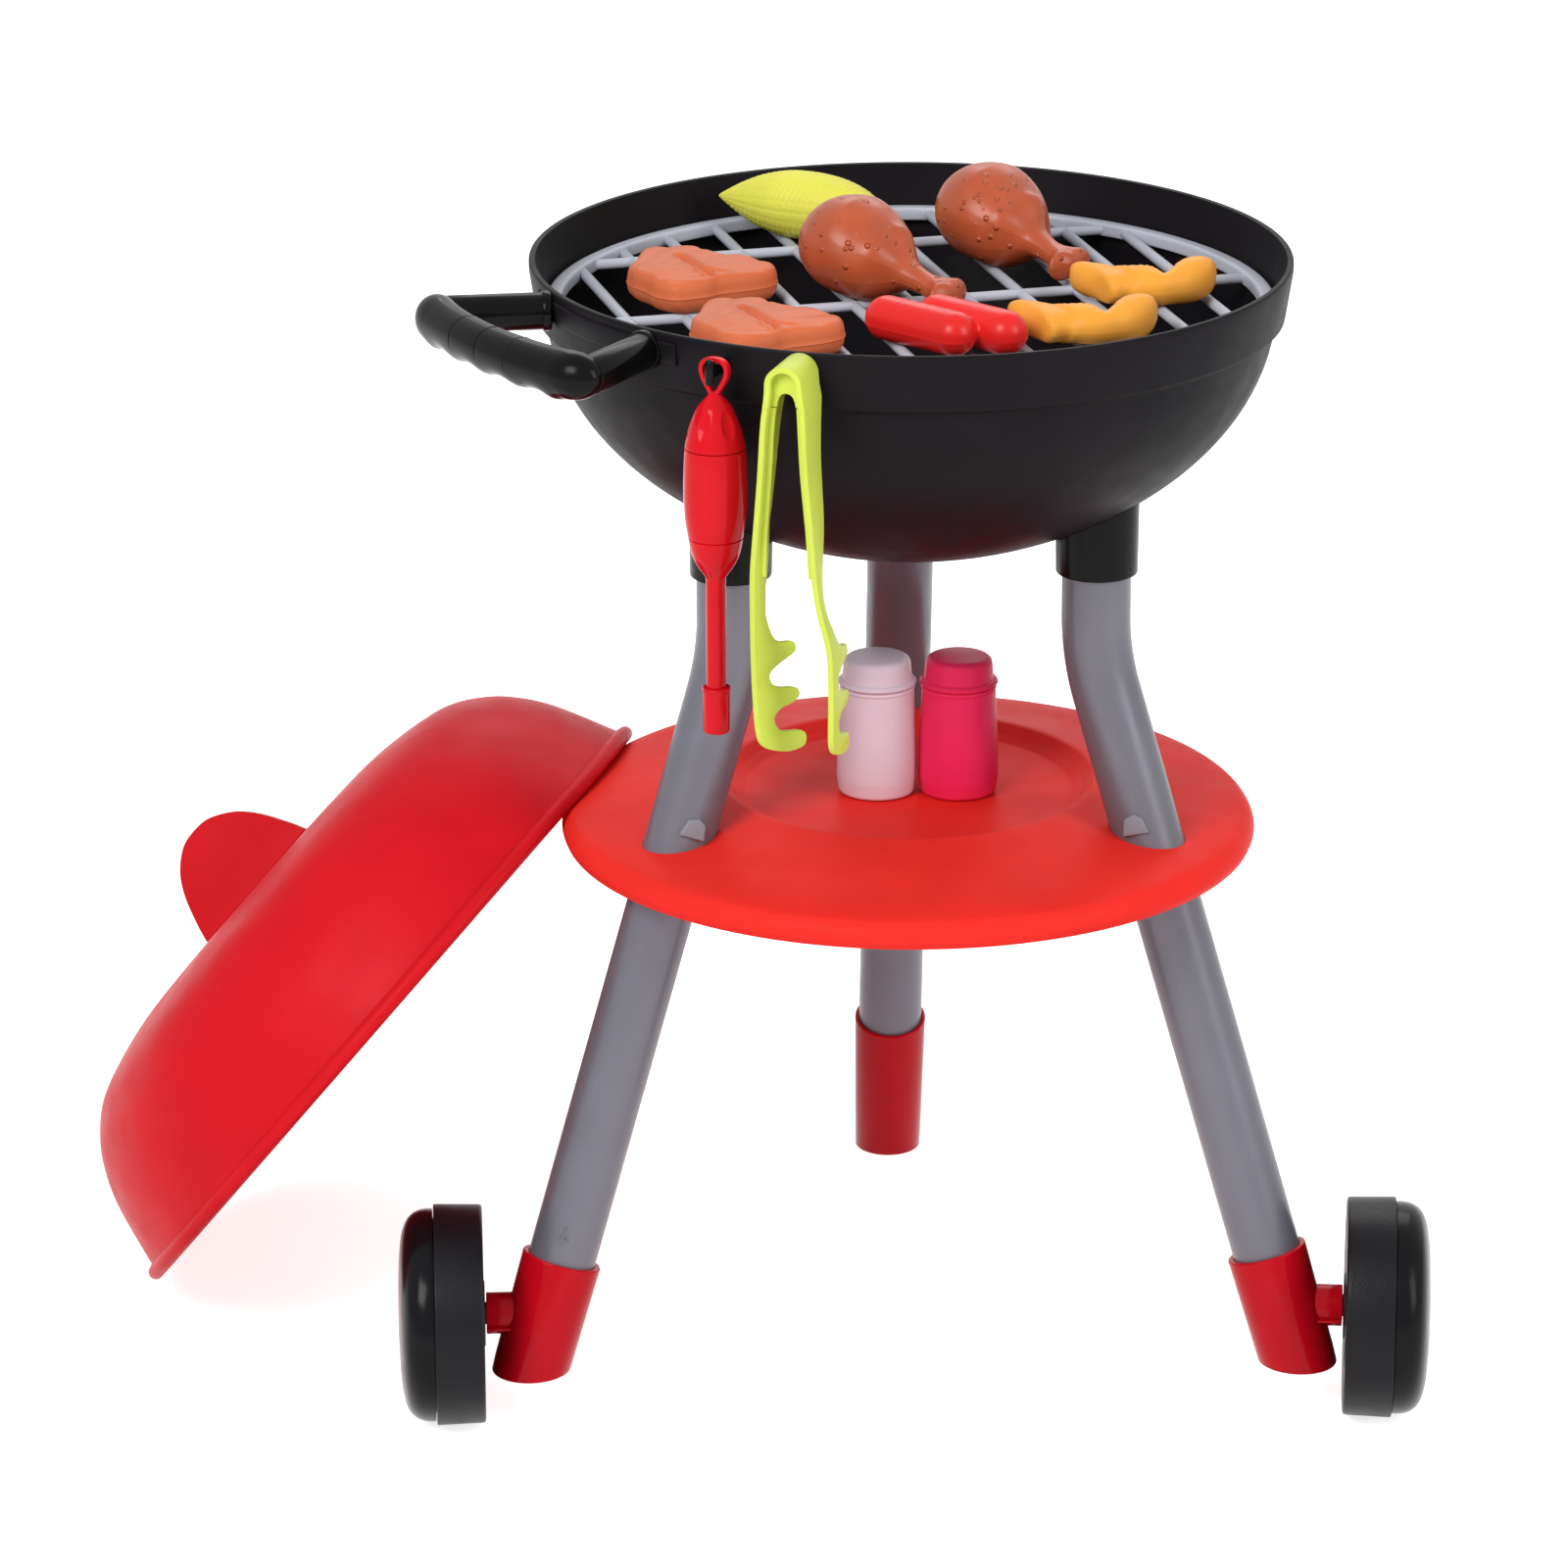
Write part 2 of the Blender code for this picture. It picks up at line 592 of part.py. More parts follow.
def make_socket(side, bowl, envelope):
    """A cup that meets the bowl's underside, and the screw that holds it."""
    centre = polar(LEG_TURNS[side], LEG_TOP_R, 0.0)
    top = bowl_height(LEG_TOP_R + SOCKET_R) + OVERRUN
    bore = LEG_R + FIT
    profile = [(0.0, top), (SOCKET_R, top), (SOCKET_R, SOCKET_BOTTOM_Z), (bore, SOCKET_BOTTOM_Z),
               (bore, SOCKET_BOTTOM_Z + SOCKET_DEPTH), (0.0, SOCKET_BOTTOM_Z + SOCKET_DEPTH)]
    placing = Matrix.Translation(centre) @ turned_about_z(LEG_TURNS[side])
    socket = paint(spun("socket_" + side, profile, TUBE_SIDES, placing), "gloss_black")
    boolean(socket, envelope, 'DIFFERENCE')
    # The screw stands square to the bowl's wall over the leg.
    near = bowl_height(LEG_TOP_R - SOCKET_R)
    far = bowl_height(LEG_TOP_R + SOCKET_R)
    lean = math.atan2(far - near, SOCKET_R + SOCKET_R)
    into = Vector((math.sin(lean), 0.0, -math.cos(lean)))
    seat = Vector((LEG_TOP_R, 0.0, bowl_height(LEG_TOP_R))) - into * (BOWL_WALL + GAP)
    turn = turned_about_z(LEG_TURNS[side])
    frame = Matrix.Translation(turn @ seat) @ (turn @ into).to_track_quat('Z', 'Y').to_matrix().to_4x4()
    screw_profile = [(0.0, -SCREW_HEAD_HEIGHT), (SCREW_HEAD_R, -SCREW_HEAD_HEIGHT),
                     (SCREW_HEAD_R, 0.0), (SOCKET_SCREW_R, 0.0),
                     (SOCKET_SCREW_R, SOCKET_SCREW_LENGTH), (0.0, SOCKET_SCREW_LENGTH)]
    paint(spun("socket_screw_" + side, screw_profile, SMALL_SIDES, frame), "steel")
    hole = [(0.0, -OVERRUN), (SOCKET_SCREW_R + FIT, -OVERRUN),
            (SOCKET_SCREW_R + FIT, SOCKET_SCREW_LENGTH + GAP), (0.0, SOCKET_SCREW_LENGTH + GAP)]
    cutter = as_cutter(spun("socket_hole_" + side, hole, SMALL_SIDES, frame))
    boolean(bowl, cutter, 'DIFFERENCE')
    boolean(socket, cutter, 'DIFFERENCE')


def foot_rings(top_z, bottom_z, top_r, low_r, floor):
    """Rings of a cup on a leg's end, from its inner floor round to its sole."""
    bore = LEG_R + FIT
    return [level_ring(bottom_z + floor, bore, TUBE_SIDES), square_ring(top_z, bore, TUBE_SIDES),
            square_ring(top_z, top_r, TUBE_SIDES),
            level_ring(bottom_z + FOOT_EDGE, low_r, TUBE_SIDES),
            level_ring(bottom_z, low_r - FOOT_EDGE, TUBE_SIDES)]


def leg_end(bottom_z, floor):
    """Height of the leg axis where its square end clears a level floor."""
    return bottom_z + floor + GAP + LEG_R * math.sin(LEG_SPLAY)


def axle_frame(side):
    """Placing of a wheel's axle: origin on its leg's axis, Z outward along the axle."""
    centre = polar(LEG_TURNS["front_" + side], leg_radius(AXLE_Z), AXLE_Z)
    outward = math.copysign(math.pi / 2, centre.x)
    turn = turned_about_z(WHEEL_TOES[side]) @ Matrix.Rotation(outward, 4, 'Y')
    return Matrix.Translation(centre) @ turn


def make_front_foot(side):
    """A front foot with its stub and journal, and the screw at the journal's end."""
    turn = turned_about_z(LEG_TURNS["front_" + side])
    rings = foot_rings(FOOT_TOP_Z, FOOT_BOTTOM_Z, FOOT_TOP_R, FOOT_LOW_R, FOOT_FLOOR)
    foot = paint(lofted("foot_front_" + side, rings, turn), "gloss_red")
    axis = axle_frame(side)
    shoulder = WHEEL_INNER - COLLAR_PROUD - COLLAR_GAP
    end = WHEEL_INNER + HUB_LENGTH + JOURNAL_PROUD
    profile = [(0.0, 0.0), (STUB_R, 0.0), (STUB_R, shoulder), (JOURNAL_R, shoulder),
               (JOURNAL_R, end), (0.0, end)]
    stub = as_cutter(spun("stub_" + side, profile, SMALL_SIDES + 2, axis))
    boolean(foot, stub, 'UNION')
    # The bore for the leg is cut again where the stub would reach into it.
    clean = LEG_R + FIT + FIT / 2
    bore = [level_ring(AXLE_Z - STUB_R - OVERRUN / 2, clean, TUBE_SIDES),
            level_ring(AXLE_Z + STUB_R + OVERRUN / 2, clean, TUBE_SIDES)]
    boolean(foot, as_cutter(lofted("foot_bore_" + side, bore, turn)), 'DIFFERENCE')
    head = end + GAP
    screw = [(0.0, head + AXLE_HEAD_HEIGHT), (AXLE_HEAD_R, head + AXLE_HEAD_HEIGHT),
             (AXLE_HEAD_R, head), (AXLE_SCREW_R, head),
             (AXLE_SCREW_R, head - AXLE_SCREW_LENGTH), (0.0, head - AXLE_SCREW_LENGTH)]
    paint(spun("axle_screw_" + side, screw, SMALL_SIDES + 2, axis), "steel")
    deep = head - AXLE_SCREW_LENGTH - GAP
    hole = [(0.0, end + OVERRUN), (AXLE_SCREW_R + FIT, end + OVERRUN),
            (AXLE_SCREW_R + FIT, deep), (0.0, deep)]
    boolean(foot, as_cutter(spun("screw_hole_" + side, hole, SMALL_SIDES, axis)), 'DIFFERENCE')
    make_leg("front_" + side, leg_end(FOOT_BOTTOM_Z, FOOT_FLOOR))


def make_rear_foot():
    """The rear foot, flat on the floor, and its leg."""
    rings = foot_rings(REAR_TOP_Z, 0.0, REAR_TOP_R, REAR_LOW_R, REAR_FLOOR)
    paint(lofted("foot_rear", rings, turned_about_z(LEG_TURNS["rear"])), "gloss_red")
    make_leg("rear", leg_end(0.0, REAR_FLOOR))


def make_shelf():
    """The shelf with its dish and its three leg holes."""
    edge = [(SHELF_R * r, SHELF_LIP_Z + SHELF_HEIGHT * z) for r, z in SHELF_EDGE_SHARES]
    floor_z = SHELF_LIP_Z + SHELF_HEIGHT - DISH_DEPTH
    top = edge + [(edge[-1][0] - DISH_WALL_RUN, floor_z), (0.0, floor_z)]
    under = []
    for i, (radius, height) in enumerate(top):
        before = Vector(top[max(i - 1, 0)])
        after = Vector(top[min(i + 1, len(top) - 1)])
        along = (after - before).normalized()
        if radius <= 0.0:
            under.append((0.0, height - SHELF_WALL))
        elif i == 0:
            under.append((radius - SHELF_WALL, height))
        else:
            under.append((radius - along.y * SHELF_WALL, height + along.x * SHELF_WALL))
    shelf = paint(spun("shelf", top[::-1] + under, BIG_SIDES), "shelf_red")
    hole_r = LEG_R + SHELF_HOLE_CLEARANCE
    high = SHELF_LIP_Z + SHELF_HEIGHT + SHELF_WALL + LEG_R
    for side, angle in LEG_TURNS.items():
        rings = [square_ring(SHELF_LIP_Z - LEG_R, hole_r, TUBE_SIDES),
                 square_ring(high, hole_r, TUBE_SIDES)]
        cutter = as_cutter(lofted("shelf_hole_" + side, rings, turned_about_z(angle)))
        boolean(shelf, cutter, 'DIFFERENCE')


# Wheels

def make_wheel(side):
    """A hollow wheel on its journal, and the domed cap that closes it."""
    frame = axle_frame(side)
    # A round bore of flat facets keeps its clearance where the facets come closest.
    bore = (JOURNAL_R + RUNNING_FIT) / math.cos(math.pi / WHEEL_SIDES)
    inner = WHEEL_INNER
    rim_inner = WHEEL_R - WHEEL_RIM
    tread = [(bore, inner - COLLAR_PROUD), (COLLAR_R, inner - COLLAR_PROUD), (COLLAR_R, inner),
             (WHEEL_R - TREAD_EDGE, inner), (WHEEL_R, inner + TREAD_EDGE),
             (WHEEL_R, inner + TREAD_WIDTH - TREAD_EDGE),
             (WHEEL_R - TREAD_EDGE, inner + TREAD_WIDTH), (rim_inner, inner + TREAD_WIDTH),
             (rim_inner, inner + WHEEL_WEB), (HUB_R, inner + WHEEL_WEB),
             (HUB_R, inner + HUB_LENGTH), (bore, inner + HUB_LENGTH)]
    wheel = paint(spun("wheel_" + side, tread, WHEEL_SIDES), "tread_black")
    wheel.matrix_world = frame
    seam = inner + TREAD_WIDTH + GAP
    cap_r = WHEEL_R - CAP_SET_IN
    outer = [(cap_r * r, seam + CAP_DOME * a) for r, a in CAP_SHARES]
    spigot_r = rim_inner - FIT / math.cos(math.pi / WHEEL_SIDES)
    inside = []
    for i, (radius, place) in enumerate(outer):
        before = Vector(outer[max(i - 1, 0)])
        after = Vector(outer[min(i + 1, len(outer) - 1)])
        along = (after - before).normalized()
        if radius <= 0.0:
            inside.append((0.0, place - CAP_WALL))
        elif i > 1:
            inside.append((min(radius - along.y * CAP_WALL, spigot_r - CAP_WALL),
                           place + along.x * CAP_WALL))
    profile = outer[::-1] + [(spigot_r, seam), (spigot_r, seam - CAP_SPIGOT),
                             (spigot_r - CAP_WALL, seam - CAP_SPIGOT)] + inside
    cap = paint(spun("hubcap_" + side, profile, WHEEL_SIDES), "gloss_black")
    cap.matrix_world = frame


# Grate

def make_grate():
    """The grate: one moulding of a ring and crossed bars."""
    ring_r = band_radius(LEDGE_Z) - BOWL_WALL - GRATE_RING_CLEARANCE
    low = LEDGE_Z + GAP
    ring_in = ring_r - GRATE_RING_WIDTH
    edge = GRATE_RING_WIDTH / 4
    profile = [(ring_r - edge, low + GRATE_RING_HEIGHT), (ring_r, low + GRATE_RING_HEIGHT - edge),
               (ring_r, low), (ring_in, low), (ring_in, low + GRATE_RING_HEIGHT - edge),
               (ring_in + edge, low + GRATE_RING_HEIGHT)]
    grate = paint(spun("grate", profile, BIG_SIDES), "grate_grey")
    middle = ring_r - GRATE_RING_WIDTH / 2
    height = low + BAR_LOW
    turn = turned_about_z(GRATE_TURN)
    runs = [((0.0, 1.0), BAR_PITCH * k, 0.0)
            for k in range(-BAR_SIDE_COUNT, BAR_SIDE_COUNT + 1)]
    runs += [((1.0, 0.0), CROSS_PITCH * k, BAR_STAGGER)
             for k in range(-CROSS_SIDE_COUNT, CROSS_SIDE_COUNT + 1)]
    for i, ((along_x, along_y), offset, sink) in enumerate(runs):
        half = math.sqrt(middle * middle - offset * offset)
        across = Vector((along_y, along_x, 0.0)) * offset
        along = Vector((along_x, along_y, 0.0)) * half
        lift = Vector((0.0, 0.0, height - sink))
        bar = rod("grate_bar_%d" % i, turn @ (across - along + lift),
                  turn @ (across + along + lift), BAR_R, BAR_SIDES)
        boolean(grate, as_cutter(bar), 'UNION')
    return height + BAR_R + GAP


# Handle and hooks

def make_handle(bowl, envelope):
    """The side handle: prongs that meet the band, and a bowed grip."""
    turn = turned_about_z(HANDLE_TURN)
    up = Vector((0.0, 0.0, 1.0))
    rings = []
    for place_share, radius_share in GRIP_SHARES:
        aside = GRIP_HALF * place_share
        out = BAR_REACH + GRIP_BOW * (1.0 - place_share * place_share)
        slope = -2.0 * GRIP_BOW * place_share / GRIP_HALF
        across = Vector((1.0, -slope, 0.0)).normalized()
        spot = Vector((out, aside, HANDLE_Z))
        radius = GRIP_R * radius_share
        rings.append(ellipse(spot, across, up, radius, radius, TUBE_SIDES))
    handle = paint(lofted("handle", rings, turn), "gloss_black")
    for name, half in (("rear", -1.0), ("front", 1.0)):
        root_r = band_radius(HANDLE_Z)
        foot_aside = PRONG_FOOT_HALF * half
        foot = Vector((math.sqrt(root_r * root_r - foot_aside * foot_aside), foot_aside, HANDLE_Z))
        end = Vector((BAR_REACH, PRONG_END_HALF * half, HANDLE_Z))
        along = (end - foot).normalized()
        start = foot - along * PRONG_R
        prong = rod("prong_" + name, turn @ start, turn @ end, PRONG_R, TUBE_SIDES)
        boolean(prong, envelope, 'DIFFERENCE')
        boolean(handle, as_cutter(prong), 'UNION')
        # A peg runs from the prong through the band and ends just inside it.
        inner_end = foot - along * ((root_r - PEG_END_R) / along.x)
        peg = rod("handle_peg_" + name, turn @ inner_end, turn @ (foot + along * PRONG_R),
                  PEG_R, SMALL_SIDES)
        boolean(handle, as_cutter(peg), 'UNION')
        hole = rod("handle_hole_" + name, turn @ (inner_end - along * OVERRUN),
                   turn @ (foot + along * OVERRUN), PEG_R + FIT, SMALL_SIDES)
        boolean(bowl, as_cutter(hole), 'DIFFERENCE')


def make_hook(side, bowl, envelope):
    """A small hook on the band: an arm with an upright tab."""
    turn = turned_about_z(HOOK_TURNS[side])
    half = HOOK_WIDTH / 2
    arm_half = HOOK_ARM_WIDTH / 2
    arm_low = HOOK_ARM_TOP_Z - HOOK_ARM_HEIGHT
    start = band_radius(HOOK_ARM_TOP_Z) - OVERRUN
    hook = paint(block("hook_" + side, (start, -arm_half, arm_low),
                       (HOOK_TAB_R + HOOK_TAB_THICK / 2, arm_half, HOOK_ARM_TOP_Z), turn),
                 "gloss_black")
    boolean(hook, envelope, 'DIFFERENCE')
    tab = block("hook_tab_" + side, (HOOK_TAB_R, -half, HOOK_TAB_TOP_Z - HOOK_TAB_HEIGHT),
                (HOOK_TAB_R + HOOK_TAB_THICK, half, HOOK_TAB_TOP_Z), turn)
    boolean(hook, as_cutter(tab), 'UNION')
    middle = HOOK_ARM_TOP_Z - HOOK_ARM_HEIGHT / 2
    inner = Vector((PEG_END_R, 0.0, middle))
    outer = Vector((band_radius(middle) + OVERRUN, 0.0, middle))
    peg = rod("hook_peg_" + side, turn @ inner, turn @ outer, HOOK_PEG_R, SMALL_SIDES)
    boolean(hook, as_cutter(peg), 'UNION')
    beyond = Vector((OVERRUN, 0.0, 0.0))
    hole = rod("hook_hole_" + side, turn @ (inner - beyond), turn @ outer, HOOK_PEG_R + FIT,
               SMALL_SIDES)
    boolean(bowl, as_cutter(hole), 'DIFFERENCE')


# Lid

def lid_frame():
    """Placing of the lid: Z along its dome's axis, X along the fin of its handle."""
    up = Vector(LID_AXIS).normalized()
    fin = Vector(LID_FIN_DIRECTION)
    fin = (fin - up * fin.dot(up)).normalized()
    aside = up.cross(fin)
    placing = Matrix((fin, aside, up)).transposed().to_4x4()
    return Matrix.Translation(polar(LID_TURN, SHELF_R + LID_REACH, LID_CENTRE_Z)) @ placing


def lid_outer():
    """The lid's outer curve from the bead to the top."""
    return [(LID_R * radius, LID_HEIGHT * height) for radius, height in LID_SHARES]


def make_lid():
    """The lid with its rolled bead, and its handle."""
    outer = lid_outer()
    inner = []
    for i, (radius, height) in enumerate(outer):
        before = Vector(outer[max(i - 1, 0)])
        after = Vector(outer[min(i + 1, len(outer) - 1)])
        along = (after - before).normalized()
        if radius <= 0.0:
            inner.append((0.0, height - LID_WALL))
        else:
            inner.append((radius - along.y * LID_WALL, height + along.x * LID_WALL))
    bead = []
    for i in range(BEAD_POINTS):
        angle = BEAD_START + BEAD_STEP * i
        bead.append((LID_R - LID_BEAD_R + LID_BEAD_R * math.cos(angle),
                     LID_BEAD_R * math.sin(angle)))
    lid = paint(spun("lid", outer[::-1] + bead + inner, BIG_SIDES), "lid_red")
    placing = lid_frame()
    lid.matrix_world = placing
    # The fin stands on the dome and its pegs pass through it.
    base_z = outer[-1][1] + GAP
    ring_low, ring_high = [], []
    half = FIN_THICK / 2
    outline = [(FIN_BASE_HALF * x, base_z + FIN_HEIGHT * z) for x, z in FIN_SHARES]
    ring_low = [Vector((x, -half, z)) for x, z in outline]
    ring_high = [Vector((x, half, z)) for x, z in outline]
    fin = paint(lofted("lid_handle", [ring_low, ring_high]), "lid_red")
    fin.matrix_world = placing
    bevel = fin.modifiers.new("rounding", 'BEVEL')
    bevel.width = FIN_EDGE
    bevel.segments = FIN_EDGE_STEPS
    bevel.limit_method = 'ANGLE'
    bevel.angle_limit = math.radians(60.0)
    below = base_z - GAP - LID_WALL - FIN_PEG_LENGTH
    for name, spot in (("low", -FIN_PEG_SPREAD), ("high", FIN_PEG_SPREAD)):
        peg = rod("fin_peg_" + name, placing @ Vector((spot, 0.0, below)),
                  placing @ Vector((spot, 0.0, base_z + FIN_EDGE + FIN_EDGE)), FIN_PEG_R, SMALL_SIDES)
        boolean(fin, as_cutter(peg), 'UNION')
        hole = rod("fin_hole_" + name, placing @ Vector((spot, 0.0, below)),
                   placing @ Vector((spot, 0.0, base_z + OVERRUN)), FIN_PEG_R + FIT, SMALL_SIDES)
        boolean(lid, as_cutter(hole), 'DIFFERENCE')


# Shakers, food, tongs and baster

def make_shaker(side, colour):
    """A shaker: a hollow body and the domed cap that plugs it."""
    x, y = SHAKER_PLACES[side]
    low = SHELF_LIP_Z + SHELF_HEIGHT - DISH_DEPTH + GAP
    place = Matrix.Translation((x, y, low))
    neck = SHAKER_HEIGHT - SHAKER_CAP_HEIGHT
    bore = SHAKER_TOP_R - SHAKER_WALL
    body = [(0.0, SHAKER_WALL), (bore, SHAKER_WALL), (bore, neck), (SHAKER_TOP_R, neck),
            (SHAKER_LOW_R, SHAKER_EDGE + SHAKER_EDGE), (SHAKER_LOW_R - SHAKER_EDGE / 2, 0.0), (0.0, 0.0)]
    paint(spun("shaker_%s_body" % side, body, TUBE_SIDES + 4, place), colour)
    seat = neck + GAP
    plug = bore - FIT - FIT
    cap = [(0.0, SHAKER_HEIGHT), (SHAKER_CAP_R - SHAKER_EDGE - SHAKER_EDGE, SHAKER_HEIGHT),
           (SHAKER_CAP_R - SHAKER_EDGE / 2, SHAKER_HEIGHT - SHAKER_EDGE),
           (SHAKER_CAP_R, seat + SHAKER_BEAD_HEIGHT + SHAKER_EDGE),
           (SHAKER_BEAD_R, seat + SHAKER_BEAD_HEIGHT), (SHAKER_BEAD_R, seat), (plug, seat),
           (plug, neck - SHAKER_NECK_DEPTH), (0.0, neck - SHAKER_NECK_DEPTH)]
    paint(spun("shaker_%s_cap" % side, cap, TUBE_SIDES + 4, place), colour)


def on_grate(place_share, height, angle):
    """Placing of a piece of food on the grate."""
    x, y = place_share
    spot = Matrix.Translation((BOWL_RIM_R * x, BOWL_RIM_R * y, height))
    return spot @ turned_about_z(angle)


def make_corn(low):
    """An ear of corn lying on the grate, its belly sunk between the bars."""
    across, up = Vector((0.0, 1.0, 0.0)), Vector((0.0, 0.0, 1.0))
    middle = low + CORN_R - CORN_SINK
    rings = [ellipse(Vector((CORN_LENGTH * place - CORN_LENGTH / 2, 0.0, middle)), across, up,
                     CORN_R * share, CORN_R * share, CORN_SIDES) for place, share in CORN_SHARES]
    placing = on_grate(CORN_PLACE_SHARE, 0.0, CORN_TURN)
    paint(lofted("corn", rings, placing), "corn_yellow")


def make_drumstick(number, low):
    """A drumstick: a round body that narrows to a bone with a knuckle."""
    across, up = Vector((0.0, 1.0, 0.0)), Vector((0.0, 0.0, 1.0))
    rings = []
    for place, share in DRUM_SHARES:
        fall = max(0.0, (place - DRUM_BODY_SHARE) / (DRUM_KNUCKLE_SHARE - DRUM_BODY_SHARE))
        height = DRUM_HALF_HEIGHT + (DRUM_BONE_LIFT - DRUM_HALF_HEIGHT) * min(fall, 1.0)
        height -= DRUM_SINK
        spot = Vector((DRUM_LENGTH * (place - DRUM_BODY_SHARE), 0.0, low + height))
        rings.append(ellipse(spot, across, up, DRUM_HALF_WIDTH * share, DRUM_HALF_HEIGHT * share,
                             DRUM_SIDES))
    placing = on_grate(DRUM_PLACE_SHARES[number - 1], 0.0, DRUM_TURNS[number - 1])
    paint(lofted("drumstick_%d" % number, rings, placing), "drum_brown")


def make_steak(number, low):
    """A steak: a rounded slab with a notched outline."""
    placing = on_grate(STEAK_PLACE_SHARES[number - 1], low, 0.0)
    rings = [[Vector((STEAK_WIDTH * x * spread, STEAK_WIDTH * y * spread, STEAK_THICK * height))
              for x, y in STEAK_SHARES] for height, spread in STEAK_LAYER_SHARES]
    paint(lofted("steak_%d" % number, rings, placing), "steak_brown")


def make_sausages(low):
    """Two sausages moulded side by side, one a little ahead of the other."""
    across, up = Vector((0.0, 1.0, 0.0)), Vector((0.0, 0.0, 1.0))
    placing = on_grate(SAUSAGE_PLACE_SHARE, low + SAUSAGE_R, SAUSAGE_TURN)
    half = SAUSAGE_LENGTH / 2
    pair = []
    for side in (-1.0, 1.0):
        aside, ahead = side * SAUSAGE_SPREAD / 2, side * SAUSAGE_STAGGER / 2
        ends = [(-half + SAUSAGE_R * place, SAUSAGE_R * share)
                for place, share in SAUSAGE_DOME_SHARES]
        ends += [(-place, radius) for place, radius in ends[::-1]]
        rings = [ellipse(Vector((place + ahead, aside, 0.0)), across, up, radius, radius,
                         SAUSAGE_SIDES) for place, radius in ends]
        pair.append(lofted("sausages" if not pair else "sausage_beside", rings, placing))
    paint(pair[0], "sausage_red")
    boolean(pair[0], as_cutter(pair[1]), 'UNION')


def make_wing(number, low):
    """A bent wing with round ends."""
    up = Vector((0.0, 0.0, 1.0))
    spots = [Vector((WING_LENGTH * place, WING_BEND * bend - WING_BEND / 2, WING_HALF_HEIGHT))
             for place, bend, _ in WING_SHARES]
    rings = []
    for i, (_, _, share) in enumerate(WING_SHARES):
        along = (spots[min(i + 1, len(spots) - 1)] - spots[max(i - 1, 0)]).normalized()
        rings.append(ellipse(spots[i], up.cross(along), up, WING_HALF_WIDTH * share,
                             WING_HALF_HEIGHT * min(share, 1.0), WING_SIDES))
    placing = on_grate(WING_PLACE_SHARES[number - 1], low, WING_TURNS[number - 1])
    paint(lofted("wing_%d" % number, rings, placing), "wing_orange")


def tongs_top():
    """Height of the crown's middle surface at its top."""
    inner_r = TONGS_CROWN_HALF - TONGS_THICK / 2
    side = HOOK_WIDTH / 2
    crown_rise = inner_r - math.sqrt(inner_r * inner_r - side * side)
    flat_rise = inner_r * (1.0 - math.cos(math.pi / TONGS_CROWN_STEPS / 2))
    return HOOK_TAB_TOP_Z + GAP + crown_rise + flat_rise + TONGS_THICK / 2


def strip(name, rows, placing):
    """A flat strip along rows of (inner edge, outer edge, normal), each a point or a direction."""
    rings = []
    for inner, outer, normal in rows:
        aside = normal * (TONGS_THICK / 2)
        rings.append([inner + aside, outer + aside, outer - aside, inner - aside])
    return paint(lofted(name, rings, placing), "lime")


def tongs_frame():
    """Placing of the tongs on their hook: X outward along their depth, Y across them."""
    tab = Vector((HOOK_TAB_R + HOOK_TAB_THICK / 2, 0.0, 0.0))
    hang = Matrix.Translation((0.0, 0.0, HOOK_TAB_TOP_Z))
    tilted = hang @ Matrix.Rotation(TONGS_TILT, 4, 'X') @ hang.inverted()
    yawed = turned_about_z(TONGS_YAW) @ tilted
    return turned_about_z(HOOK_TURNS["tongs"]) @ Matrix.Translation(tab) @ yawed


def make_tongs():
    """The tongs' crown over its hook, and the two arms hinged to it."""
    placing = tongs_frame()
    inner_edge = TONGS_BEYOND_HOOK - TONGS_WIDTH
    top = tongs_top()
    hinge_z = top - TONGS_HINGE_DROP
    radius = TONGS_CROWN_HALF
    spread = TONGS_HINGE_HALF
    path = [(-spread, hinge_z, (-1.0, 0.0))]
    for i in range(TONGS_CROWN_STEPS + 1):
        angle = math.pi - math.pi * i / TONGS_CROWN_STEPS
        out = (math.cos(angle), math.sin(angle))
        path.append((radius * out[0], top - radius + radius * out[1], out))
    path.append((spread, hinge_z, (1.0, 0.0)))
    rows = [(Vector((inner_edge, aside, height)), Vector((TONGS_BEYOND_HOOK, aside, height)),
             Vector((0.0, *out))) for aside, height, out in path]
    strip("tongs_crown", rows, placing)
    for side, sign in (("left", -1.0), ("right", 1.0)):
        middle = Vector((TONGS_BEYOND_HOOK - TONGS_WIDTH / 2, sign * spread, hinge_z - GAP / 2))
        hinge = placing @ middle
        arm = strip("tongs_arm_" + side, arm_rows(side, sign, hinge_z - GAP),
                    Matrix.Translation(-hinge) @ placing)
        arm.location = hinge


def arm_spread(side, length_share):
    """How far an arm stands out from the crown's side at a share of its length."""
    table = TONGS_ARM_SHARES[side]
    for (l_one, s_one), (l_two, s_two) in zip(table, table[1:]):
        if l_one <= length_share <= l_two:
            return TONGS_SPREAD * (s_one + (s_two - s_one) * (length_share - l_one) / (l_two - l_one))
    return TONGS_SPREAD * table[-1][1]


